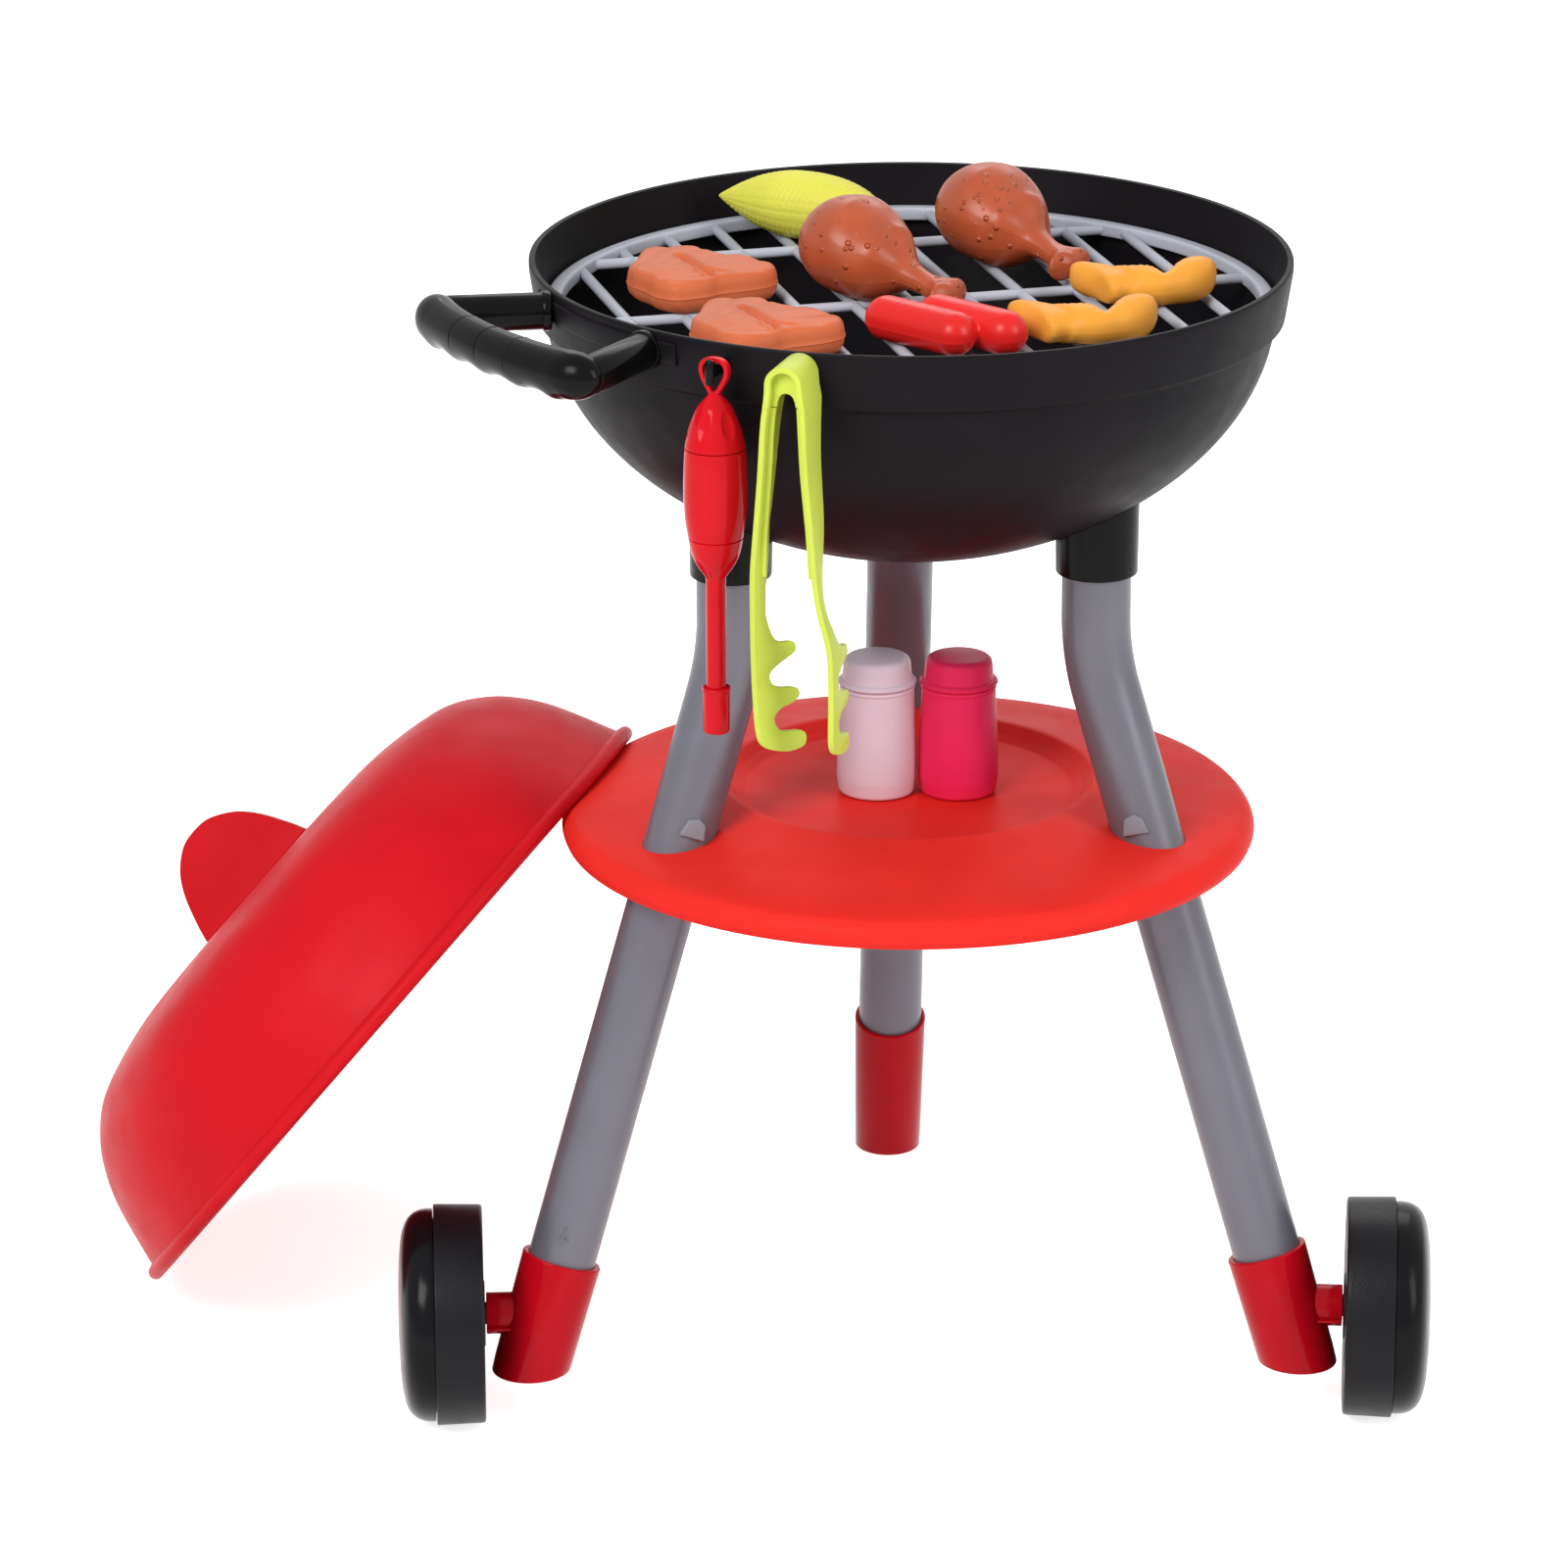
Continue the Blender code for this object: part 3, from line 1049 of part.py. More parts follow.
def arm_rows(side, sign, start_z):
    """Rows of an arm: its outer edge, and the inner edge with the claws cut in it."""
    rows = []
    last = len(CLAW_SHARES) - 1
    for i, (outer_share, inner_share, width_share, twist_share) in enumerate(CLAW_SHARES):
        one = CLAW_SHARES[max(i - 1, 0)][0]
        two = CLAW_SHARES[min(i + 1, last)][0]
        rise = TONGS_ARM_LENGTH * (one - two)
        bow = arm_spread(side, two) - arm_spread(side, one)
        lean = Vector((-rise, bow)).normalized() if i else Vector((1.0, 0.0))
        twist = TONGS_TWISTS[side] * twist_share
        inward = Vector((-math.cos(twist), -sign * math.sin(twist), 0.0))
        aside = sign * (TONGS_HINGE_HALF + arm_spread(side, outer_share))
        outer = Vector((TONGS_BEYOND_HOOK, aside, start_z - TONGS_ARM_LENGTH * outer_share))
        drop = TONGS_ARM_LENGTH * (inner_share - outer_share)
        inner = outer + inward * (TONGS_WIDTH * width_share) - Vector((0.0, 0.0, drop))
        normal = Vector((-sign * math.sin(twist), math.cos(twist), 0.0)) * (sign * abs(lean.x))
        normal += Vector((0.0, 0.0, lean.y))
        rows.append((inner, outer, normal.normalized()))
    return rows


def make_baster():
    """The baster on its hook: top with a loop, barrel, nose and tube, and tip."""
    angle = HOOK_TURNS["baster"]
    place = Matrix.Translation(polar(angle, BOWL_RIM_R + BASTER_OUT, 0.0)) @ turned_about_z(angle)
    height = BASTER_TOP_Z - BASTER_SEAM_Z
    bore = BASTER_BODY_R - BASTER_WALL
    plug = bore - FIT - FIT
    top = [(0.0, BASTER_TOP_Z)]
    top += [(BASTER_BODY_R * r, BASTER_TOP_Z - height * z) for r, z in BASTER_TOP_SHARES]
    top += [(plug, BASTER_SEAM_Z), (plug, BASTER_SEAM_Z - BASTER_PLUG),
            (0.0, BASTER_SEAM_Z - BASTER_PLUG)]
    crown = paint(spun("baster_top", top, TUBE_SIDES + 2, place), "gloss_red")
    loop_z = HOOK_ARM_TOP_Z + GAP + BASTER_WIRE_R - BASTER_LOOP_R
    centre = Vector((0.0, 0.0, loop_z))
    bm = bmesh.new()
    rows = []
    for i in range(BASTER_LOOP_STEPS):
        turn = math.tau * i / BASTER_LOOP_STEPS
        out = Vector((0.0, math.cos(turn), math.sin(turn)))
        ring = ellipse(centre + out * BASTER_LOOP_R, out, Vector((1.0, 0.0, 0.0)), BASTER_WIRE_R,
                       BASTER_WIRE_R, 8)
        rows.append([bm.verts.new(point) for point in ring])
    for row, after in zip(rows, rows[1:] + rows[:1]):
        for i in range(len(row)):
            j = (i + 1) % len(row)
            bm.faces.new((row[i], row[j], after[j], after[i]))
    bm.transform(place)
    boolean(crown, as_cutter(finish_mesh("baster_loop", bm)), 'UNION')
    low = BASTER_NOSE_Z
    seam_low = BASTER_SEAM_Z - GAP
    barrel = [(bore, seam_low), (BASTER_BODY_R, seam_low), (BASTER_BODY_R, low + GAP),
              (bore, low + GAP)]
    paint(spun("baster_barrel", barrel, TUBE_SIDES + 2, place), "gloss_red")
    nose = [(0.0, low + BASTER_PLUG), (plug, low + BASTER_PLUG), (plug, low)]
    nose += [(BASTER_BODY_R * r, low - BASTER_NOSE_HEIGHT * z) for r, z in BASTER_NOSE_SHARES]
    nose += [(BASTER_TUBE_R, low - BASTER_NOSE_HEIGHT), (BASTER_TUBE_R, BASTER_TUBE_END_Z),
             (0.0, BASTER_TUBE_END_Z)]
    paint(spun("baster_nose", nose, TUBE_SIDES + 2, place), "gloss_red")
    socket = BASTER_TUBE_R + FIT
    edge = BASTER_TIP_EDGE
    tip = [(0.0, BASTER_TUBE_END_Z - GAP), (socket, BASTER_TUBE_END_Z - GAP),
           (socket, BASTER_TIP_TOP_Z), (BASTER_TIP_R - edge, BASTER_TIP_TOP_Z),
           (BASTER_TIP_R, BASTER_TIP_TOP_Z - edge), (BASTER_TIP_R, BASTER_TIP_BOTTOM_Z + edge),
           (BASTER_TIP_R - edge, BASTER_TIP_BOTTOM_Z), (0.0, BASTER_TIP_BOTTOM_Z)]
    paint(spun("baster_tip", tip, TUBE_SIDES + 2, place), "gloss_red")


def move_to_origin():
    """Move the whole model so that its origin is the middle of its footprint."""
    bpy.context.view_layer.update()
    graph = bpy.context.evaluated_depsgraph_get()
    low, high = Vector((1e9, 1e9, 1e9)), Vector((-1e9, -1e9, -1e9))
    hidden = set(CUTTERS)
    for obj in bpy.context.scene.objects:
        if obj.type != 'MESH' or obj in hidden:
            continue
        seen = obj.evaluated_get(graph)
        for vert in seen.data.vertices:
            spot = obj.matrix_world @ vert.co
            low = Vector(map(min, low, spot))
            high = Vector(map(max, high, spot))
    shift = Vector(((low.x + high.x) / 2, (low.y + high.y) / 2, low.z))
    for obj in bpy.context.scene.objects:
        obj.location -= shift
    bpy.context.view_layer.update()
    print("size", *("%.5f" % (b - a) for a, b in zip(low, high)))
    print("bowl axis at", *("%.5f" % -v for v in shift))
    for name in ("wheel_left", "wheel_right", "tongs_arm_left", "tongs_arm_right"):
        print(name, *("%.5f" % v for v in bpy.data.objects[name].matrix_world.translation))


def build():
    """Make every piece."""
    clear_scene()
    bowl, envelope = make_bowl()
    for side in LEG_TURNS:
        make_socket(side, bowl, envelope)
    make_handle(bowl, envelope)
    for side in HOOK_TURNS:
        make_hook(side, bowl, envelope)
    make_front_foot("left")
    make_front_foot("right")
    make_rear_foot()
    make_shelf()
    make_wheel("left")
    make_wheel("right")
    food_z = make_grate()
    make_lid()
    make_shaker("white", "shaker_white")
    make_shaker("pink", "shaker_pink")
    make_corn(food_z)
    for number in (1, 2):
        make_drumstick(number, food_z)
        make_steak(number, food_z)
        make_wing(number, food_z)
    make_sausages(food_z)
    make_tongs()
    make_baster()
    move_to_origin()


build()
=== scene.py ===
"""Looks of the toy kettle barbecue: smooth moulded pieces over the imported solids."""
import json
import math

import bpy
import numpy as np
from mathutils import Matrix, Vector


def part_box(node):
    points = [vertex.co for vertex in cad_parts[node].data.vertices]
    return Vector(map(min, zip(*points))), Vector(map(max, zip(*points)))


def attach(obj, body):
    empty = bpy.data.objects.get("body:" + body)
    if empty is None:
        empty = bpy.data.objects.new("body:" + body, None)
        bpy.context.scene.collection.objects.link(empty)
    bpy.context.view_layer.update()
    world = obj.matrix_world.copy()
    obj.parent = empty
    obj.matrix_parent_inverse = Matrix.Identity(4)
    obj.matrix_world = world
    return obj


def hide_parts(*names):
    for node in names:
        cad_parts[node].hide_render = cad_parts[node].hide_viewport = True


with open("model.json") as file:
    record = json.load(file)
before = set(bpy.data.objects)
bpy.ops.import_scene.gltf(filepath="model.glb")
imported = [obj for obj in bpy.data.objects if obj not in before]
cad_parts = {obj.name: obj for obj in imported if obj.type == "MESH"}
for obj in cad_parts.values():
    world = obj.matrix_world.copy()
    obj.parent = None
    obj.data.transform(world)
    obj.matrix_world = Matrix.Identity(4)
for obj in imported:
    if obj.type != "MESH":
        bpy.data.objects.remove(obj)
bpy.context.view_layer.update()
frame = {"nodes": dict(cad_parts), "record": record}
bpy.ops.object.select_all(action='DESELECT')
bpy.context.scene.view_settings.view_transform = 'Standard'

bowl_low, bowl_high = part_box("bowl")
BOWL_AXIS = Vector(((bowl_low.x + bowl_high.x) / 2, (bowl_low.y + bowl_high.y) / 2, 0.0))
TO_ROW = Matrix.Translation(BOWL_AXIS)


# Camera, light and floor

def place_camera():
    """The camera where the photographer stood."""
    spot = BOWL_AXIS + Vector((-0.1151, -2.5944, 1.1858))
    down, aside = 0.3426, 0.0231
    forward = Vector((math.sin(aside) * math.cos(down), math.cos(aside) * math.cos(down),
                      -math.sin(down)))
    data = bpy.data.cameras.new("camera")
    data.sensor_width = 36.0
    data.lens = 36.0 * 6321.8 / 1600.0
    data.clip_end = 60.0
    camera = bpy.data.objects.new("camera", data)
    bpy.context.scene.collection.objects.link(camera)
    camera.matrix_world = (Matrix.Translation(spot)
                           @ forward.to_track_quat('-Z', 'Y').to_matrix().to_4x4()
                           @ Matrix.Rotation(-0.0016, 4, 'Z'))
    bpy.context.scene.camera = camera


def soft_box(name, spot, aim, width, height, watts):
    """A rectangular studio lamp."""
    data = bpy.data.lights.new(name, 'AREA')
    data.shape = 'RECTANGLE'
    data.size, data.size_y = width, height
    data.energy = watts
    lamp = bpy.data.objects.new(name, data)
    bpy.context.scene.collection.objects.link(lamp)
    spot = BOWL_AXIS + Vector(spot)
    lamp.matrix_world = (Matrix.Translation(spot)
                         @ (BOWL_AXIS + Vector(aim) - spot).to_track_quat('-Z', 'Y').to_matrix().to_4x4())


def white_rays(nodes, links):
    """1 for the rays that see the white backdrop: the camera's, mirrored and transmitted ones."""
    seen = nodes.new("ShaderNodeLightPath")
    total = seen.outputs["Is Camera Ray"]
    for kind in ("Is Glossy Ray", "Is Transmission Ray"):
        either = nodes.new("ShaderNodeMath")
        either.operation = 'MAXIMUM'
        links.new(total, either.inputs[0])
        links.new(seen.outputs[kind], either.inputs[1])
        total = either.outputs[0]
    return total


def light_studio():
    soft_box("key_lamp", (-1.5, -2.0, 2.2), (0.0, 0.0, 0.3), 1.3, 1.3, 60.0)
    soft_box("fill_lamp", (1.9, -1.5, 1.4), (0.0, 0.0, 0.25), 1.0, 1.6, 25.0)
    soft_box("back_lamp", (0.3, 1.9, 1.9), (0.0, 0.0, 0.3), 1.6, 1.0, 12.0)
    world = bpy.data.worlds.new("studio")
    world.use_nodes = True
    bpy.context.scene.world = world
    nodes, links = world.node_tree.nodes, world.node_tree.links
    back = nodes["Background"]
    strength = nodes.new("ShaderNodeMix")
    strength.inputs["A"].default_value = 0.42
    strength.inputs["B"].default_value = 1.0
    links.new(white_rays(nodes, links), strength.inputs["Factor"])
    links.new(strength.outputs["Result"], back.inputs["Strength"])
    back.inputs["Color"].default_value = (1.0, 1.0, 1.0, 1.0)


def lay_floor():
    """A pale floor that shows white to the camera and keeps the toy's shadow."""
    bpy.ops.mesh.primitive_plane_add(size=14.0, location=(BOWL_AXIS.x, BOWL_AXIS.y + 2.0, 0.0))
    floor = bpy.context.object
    floor.name = "floor"
    bpy.ops.object.transform_apply(location=True, rotation=True, scale=True)
    skin = bpy.data.materials.new("floor_paper")
    skin.use_nodes = True
    shader = skin.node_tree.nodes["Principled BSDF"]
    shader.inputs["Base Color"].default_value = (0.93, 0.93, 0.93, 1.0)
    shader.inputs["Roughness"].default_value = 0.9
    shader.inputs["Specular IOR Level"].default_value = 0.0
    shader.inputs["Emission Color"].default_value = (1.0, 1.0, 1.0, 1.0)
    nodes, links = skin.node_tree.nodes, skin.node_tree.links
    glow = nodes.new("ShaderNodeMath")
    glow.operation = 'MULTIPLY'
    glow.inputs[1].default_value = 0.75
    links.new(white_rays(nodes, links), glow.inputs[0])
    links.new(glow.outputs[0], shader.inputs["Emission Strength"])
    floor.data.materials.append(skin)


# Materials

def tint(colour, factor):
    return (*(min(1.0, channel * factor) for channel in colour), 1.0)


def moulded(name, colour, roughness, grain=900.0, grain_depth=0.00002, mottle=0.05, coat=0.0,
            mottle_scale=28.0, specular=0.10, sheen=0.0, roughness_spread=0.05):
    """Moulded plastic: faint cloudiness in the colour, uneven gloss and a fine skin grain."""
    skin = bpy.data.materials.new(name)
    skin.use_nodes = True
    nodes, links = skin.node_tree.nodes, skin.node_tree.links
    shader = nodes["Principled BSDF"]
    shader.inputs["Specular IOR Level"].default_value = specular
    if coat:
        shader.inputs["Coat Weight"].default_value = coat
        shader.inputs["Coat Roughness"].default_value = 0.06
    if sheen:
        shader.inputs["Sheen Weight"].default_value = sheen
        shader.inputs["Sheen Roughness"].default_value = 0.6
    place = nodes.new("ShaderNodeTexCoord")
    cloud = nodes.new("ShaderNodeTexNoise")
    cloud.inputs["Scale"].default_value = mottle_scale
    cloud.inputs["Detail"].default_value = 3.0
    links.new(place.outputs["Object"], cloud.inputs["Vector"])
    shade = nodes.new("ShaderNodeValToRGB")
    shade.color_ramp.elements[0].position = 0.3
    shade.color_ramp.elements[0].color = tint(colour, 1.0 - mottle)
    shade.color_ramp.elements[1].position = 0.7
    shade.color_ramp.elements[1].color = tint(colour, 1.0 + mottle)
    links.new(cloud.outputs["Fac"], shade.inputs["Fac"])
    links.new(shade.outputs["Color"], shader.inputs["Base Color"])
    gloss = nodes.new("ShaderNodeMapRange")
    gloss.inputs["From Min"].default_value = 0.3
    gloss.inputs["From Max"].default_value = 0.7
    gloss.inputs["To Min"].default_value = max(0.02, roughness - roughness_spread)
    gloss.inputs["To Max"].default_value = roughness + roughness_spread
    smear = nodes.new("ShaderNodeTexNoise")
    smear.inputs["Scale"].default_value = mottle_scale * 2.3
    smear.inputs["Detail"].default_value = 4.0
    links.new(place.outputs["Object"], smear.inputs["Vector"])
    links.new(smear.outputs["Fac"], gloss.inputs["Value"])
    links.new(gloss.outputs["Result"], shader.inputs["Roughness"])
    pits = nodes.new("ShaderNodeTexNoise")
    pits.inputs["Scale"].default_value = grain
    pits.inputs["Detail"].default_value = 2.0
    links.new(place.outputs["Object"], pits.inputs["Vector"])
    bump = nodes.new("ShaderNodeBump")
    bump.inputs["Strength"].default_value = 1.0
    bump.inputs["Distance"].default_value = grain_depth
    links.new(pits.outputs["Fac"], bump.inputs["Height"])
    links.new(bump.outputs["Normal"], shader.inputs["Normal"])
    return skin


def add_beads(skin, spacing, size, depth):
    """Sparse raised grains over the skin, as on roast chicken."""
    nodes, links = skin.node_tree.nodes, skin.node_tree.links
    fine = next(node for node in nodes if node.type == 'BUMP')
    place = next(node for node in nodes if node.type == 'TEX_COORD')
    cells = nodes.new("ShaderNodeTexVoronoi")
    cells.inputs["Scale"].default_value = 1.0 / spacing
    links.new(place.outputs["Object"], cells.inputs["Vector"])
    dots = nodes.new("ShaderNodeMapRange")
    dots.interpolation_type = 'SMOOTHSTEP'
    dots.inputs["From Min"].default_value = size / spacing
    dots.inputs["From Max"].default_value = size / spacing * 0.35
    links.new(cells.outputs["Distance"], dots.inputs["Value"])
    raised = nodes.new("ShaderNodeBump")
    raised.inputs["Strength"].default_value = 1.0
    raised.inputs["Distance"].default_value = depth
    links.new(dots.outputs["Result"], raised.inputs["Height"])
    links.new(fine.outputs["Normal"], raised.inputs["Normal"])
    links.new(raised.outputs["Normal"], nodes["Principled BSDF"].inputs["Normal"])
    return skin


def flecked(name, colour, roughness, metallic):
    """Silver-grey plastic with metallic flakes."""
    skin = moulded(name, colour, roughness, grain=2600.0, grain_depth=0.000012, mottle=0.04)
    nodes, links = skin.node_tree.nodes, skin.node_tree.links
    shader = nodes["Principled BSDF"]
    shader.inputs["Metallic"].default_value = metallic
    shader.inputs["Specular IOR Level"].default_value = 0.30
    place = next(node for node in nodes if node.type == 'TEX_COORD')
    flakes = nodes.new("ShaderNodeTexVoronoi")
    flakes.inputs["Scale"].default_value = 1500.0
    links.new(place.outputs["Object"], flakes.inputs["Vector"])
    spark = nodes.new("ShaderNodeMapRange")
    spark.inputs["From Min"].default_value = 0.0
    spark.inputs["From Max"].default_value = 0.35
    spark.inputs["To Min"].default_value = 0.22
    spark.inputs["To Max"].default_value = 0.0
    links.new(flakes.outputs["Distance"], spark.inputs["Value"])
    lift = nodes.new("ShaderNodeMix")
    lift.data_type = 'RGBA'
    lift.inputs["B"].default_value = tint(colour, 2.0)
    ramp = next(node for node in nodes if node.type == 'VALTORGB')
    links.new(spark.outputs["Result"], lift.inputs["Factor"])
    links.new(ramp.outputs["Color"], lift.inputs["A"])
    links.new(lift.outputs["Result"], shader.inputs["Base Color"])
    return skin


SKINS = {
    "bowl_black": moulded("bowl_black", (0.0085, 0.0070, 0.0090), 0.47, grain=1500.0,
                          grain_depth=0.000035, mottle=0.1, specular=0.07),
    "handle_black": moulded("handle_black", (0.0035, 0.0032, 0.0036), 0.20, grain=700.0,
                            grain_depth=0.00001, mottle=0.1),
    "socket_black": moulded("socket_black", (0.004, 0.0038, 0.004), 0.2, grain=700.0,
                            grain_depth=0.00001, mottle=0.1),
    "hook_black": moulded("hook_black", (0.006, 0.006, 0.006), 0.2, mottle=0.1),
    "leg_silver": flecked("leg_silver", (0.160, 0.157, 0.186), 0.33, 0.25),
    "leg_lug": moulded("leg_lug", (0.25, 0.25, 0.285), 0.42),
    "shelf_red": moulded("shelf_red", (0.84, 0.028, 0.022), 0.46, grain=1400.0,
                         grain_depth=0.000022, mottle=0.04, specular=0.05),
    "foot_red": moulded("foot_red", (0.50, 0.003, 0.010), 0.13, grain=600.0,
                        grain_depth=0.000008, mottle=0.04),
    "screw_steel": moulded("screw_steel", (0.5, 0.5, 0.52), 0.3),
    "wheel_black": moulded("wheel_black", (0.0060, 0.0053, 0.0075), 0.40, grain=1100.0,
                           grain_depth=0.00016, mottle=0.12, specular=0.16),
    "hubcap_black": moulded("hubcap_black", (0.0050, 0.0045, 0.0058), 0.22, grain=500.0,
                            grain_depth=0.00001, mottle=0.1),
    "grate_grey": moulded("grate_grey", (0.52, 0.545, 0.62), 0.36, mottle=0.04),
    "lid_red": moulded("lid_red", (0.62, 0.009, 0.016), 0.40, grain=1300.0,
                       grain_depth=0.00003, mottle=0.05, specular=0.05),
    "corn_yellow": moulded("corn_yellow", (0.78, 0.75, 0.10), 0.42, mottle=0.05),
    "drumstick_brown": add_beads(moulded("drumstick_brown", (0.46, 0.085, 0.030), 0.34,
                                         mottle=0.1, mottle_scale=60.0, specular=0.35), 0.0060, 0.0016, 0.0009),
    "steak_brown": moulded("steak_brown", (0.66, 0.155, 0.062), 0.40, mottle=0.07),
    "sausage_red": moulded("sausage_red", (0.78, 0.018, 0.016), 0.30, mottle=0.04, specular=0.25),
    "wing_orange": moulded("wing_orange", (0.97, 0.40, 0.055), 0.36, mottle=0.06),
    "shaker_white": moulded("shaker_white", (0.74, 0.60, 0.68), 0.34, mottle=0.04),
    "shaker_pink": moulded("shaker_pink", (0.88, 0.028, 0.115), 0.34, mottle=0.04),
    "tongs_lime": moulded("tongs_lime", (0.62, 0.72, 0.095), 0.34, mottle=0.04),
    "baster_red": moulded("baster_red", (0.66, 0.006, 0.014), 0.12, grain=600.0,
                          grain_depth=0.000008, mottle=0.04),
}
for node in frame["nodes"].values():
    node.data.materials.clear()
for entry in frame["record"]["subparts"]:
    node = frame["nodes"].get(entry["node"])
    if node is not None:
        node.data.materials.append(SKINS[entry["material_slot"]])


# Modelling with Blender's own operators

def begin(name):
    """One vertex at the origin, in edit mode."""
    bpy.ops.mesh.primitive_plane_add(size=0.01)
    piece = bpy.context.object
    piece.name = name
    bpy.ops.object.mode_set(mode='EDIT')
    bpy.ops.mesh.select_all(action='SELECT')
    bpy.ops.mesh.merge(type='CENTER')
    return piece


def draw(points):
    """Extrude the one vertex along a row of points."""
    bpy.ops.transform.translate(value=points[0])
    for here, after in zip(points, points[1:]):
        step = Vector(after) - Vector(here)
        bpy.ops.mesh.extrude_region_move(TRANSFORM_OT_translate={"value": step})


def close_up(merge=0.000002):
    """Weld the mesh, turn its faces outward and leave edit mode."""
    bpy.ops.mesh.select_all(action='SELECT')
    bpy.ops.mesh.remove_doubles(threshold=merge)
    bpy.ops.mesh.normals_make_consistent(inside=False)
    bpy.ops.object.mode_set(mode='OBJECT')


def only(piece):
    bpy.ops.object.select_all(action='DESELECT')
    piece.select_set(True)
    bpy.context.view_layer.objects.active = piece


def settle(piece, placing):
    """Put the piece in its place in the row frame, held in its mesh."""
    only(piece)
    piece.matrix_world = TO_ROW @ placing
    bpy.ops.object.transform_apply(location=True, rotation=True, scale=True)
    return piece


def smooth_by(piece, degrees=35.0):
    only(piece)
    bpy.ops.object.shade_smooth_by_angle(angle=math.radians(degrees))


def hold(piece, kind, **values):
    """Add a modifier and apply it."""
    only(piece)
    modifier = piece.modifiers.new(kind.lower(), kind)
    for key, value in values.items():
        setattr(modifier, key, value)
    bpy.ops.object.modifier_apply(modifier=modifier.name)


def finish(piece, skin, body, nodes=(), placing=None, degrees=35.0):
    """Place, paint, and tie the piece to its body and the nodes it stands for."""
    if placing is not None:
        settle(piece, placing)
    smooth_by(piece, degrees)
    piece.data.materials.clear()
    piece.data.materials.append(SKINS[skin])
    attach(piece, body)
    if nodes:
        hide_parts(*nodes)
    bpy.ops.object.select_all(action='DESELECT')
    return piece


def rounded(corners, arc_steps=4):
    """A row of (r, z) or (r, z, radius) corners with arcs at those that have a radius."""
    row = []
    for i, corner in enumerate(corners):
        if len(corner) < 3 or i in (0, len(corners) - 1):
            row.append((corner[0], corner[1]))
            continue
        here = Vector(corner[:2])
        back = Vector(corners[i - 1][:2]) - here
        ahead = Vector(corners[i + 1][:2]) - here
        turn = back.angle(ahead)
        reach = min(corner[2] / math.tan(turn / 2), back.length * 0.48, ahead.length * 0.48)
        start, end = here + back.normalized() * reach, here + ahead.normalized() * reach
        for step in range(arc_steps + 1):
            t = step / arc_steps
            spot = start * (1 - t) ** 2 + here * (2 * t * (1 - t)) + end * t ** 2
            row.append((spot.x, spot.y))
    return row


def curved(points, steps=4):
    """A smooth row through the points."""
    row = []
    count = len(points)
    for i in range(count - 1):
        a = Vector(points[max(i - 1, 0)])
        b, c = Vector(points[i]), Vector(points[i + 1])
        d = Vector(points[min(i + 2, count - 1)])
        for step in range(steps):
            t = step / steps
            spot = 0.5 * ((2 * b) + (c - a) * t + (2 * a - 5 * b + 4 * c - d) * t * t
                          + (3 * b - a - 3 * c + d) * t ** 3)
            row.append(tuple(spot))
    row.append(tuple(points[-1]))
    return row


def ringed(points, steps=4):
    """A smooth closed row through the points."""
    count = len(points)
    row = []
    for i in range(count):
        a, b, c, d = (Vector(points[(i + k) % count]) for k in (-1, 0, 1, 2))
        for step in range(steps):
            t = step / steps
            spot = 0.5 * ((2 * b) + (c - a) * t + (2 * a - 5 * b + 4 * c - d) * t * t
                          + (3 * b - a - 3 * c + d) * t ** 3)
            row.append(tuple(spot))
    return row


def turned(name, outline, sides=96):
    """An outline of (radius, height) turned about Z; first and last points meet or lie on Z."""
    piece = begin(name)
    draw([(radius, 0.0, height) for radius, height in outline])
    bpy.ops.mesh.select_all(action='SELECT')
    bpy.ops.mesh.spin(steps=sides, angle=math.tau, center=(0.0, 0.0, 0.0), axis=(0.0, 0.0, 1.0))
    close_up()
    return piece


def drawn_out(name, stations, sides=32):
    """Rings along Z: each station is (z, centre x, centre y, half width, half height)."""
    z, x, y, wide, high = stations[0]
    bpy.ops.mesh.primitive_circle_add(vertices=sides, radius=1.0, location=(0.0, 0.0, 0.0))
    piece = bpy.context.object
    piece.name = name
    bpy.ops.object.mode_set(mode='EDIT')
    bpy.ops.mesh.select_all(action='SELECT')
    bpy.ops.transform.resize(value=(wide, high, 1.0), center_override=(0.0, 0.0, 0.0))
    bpy.ops.transform.translate(value=(x, y, z))
    for here, after in zip(stations, stations[1:]):
        step = (after[1] - here[1], after[2] - here[2], after[0] - here[0])
        bpy.ops.mesh.extrude_region_move(TRANSFORM_OT_translate={"value": step})
        bpy.ops.transform.resize(value=(after[3] / here[3], after[4] / here[4], 1.0),
                                 center_override=(after[1], after[2], after[0]))
    bpy.ops.mesh.select_all(action='SELECT')
    bpy.ops.mesh.fill_holes(sides=0)
    close_up()
    return piece


def slab(name, outline, low, high, bevel=0.0, segments=3):
    """A closed outline of (x, y) drawn up from one height to another."""
    piece = begin(name)
    draw([(x, y, low) for x, y in outline])
    bpy.ops.mesh.select_all(action='SELECT')
    bpy.ops.mesh.edge_face_add()
    bpy.ops.mesh.extrude_region_move(TRANSFORM_OT_translate={"value": (0.0, 0.0, high - low)})
    close_up()
    if bevel:
        hold(piece, 'BEVEL', width=bevel, segments=segments, limit_method='ANGLE',
             angle_limit=math.radians(50.0))
    return piece


def press(piece, change):
    """Move every vertex of the mesh by a rule; the rule takes and gives an array of places."""
    count = len(piece.data.vertices)
    flat = np.empty(count * 3, np.float64)
    piece.data.vertices.foreach_get("co", flat)
    spots = change(flat.reshape(-1, 3).copy())
    piece.data.vertices.foreach_set("co", spots.ravel())
    piece.data.update()
    return piece


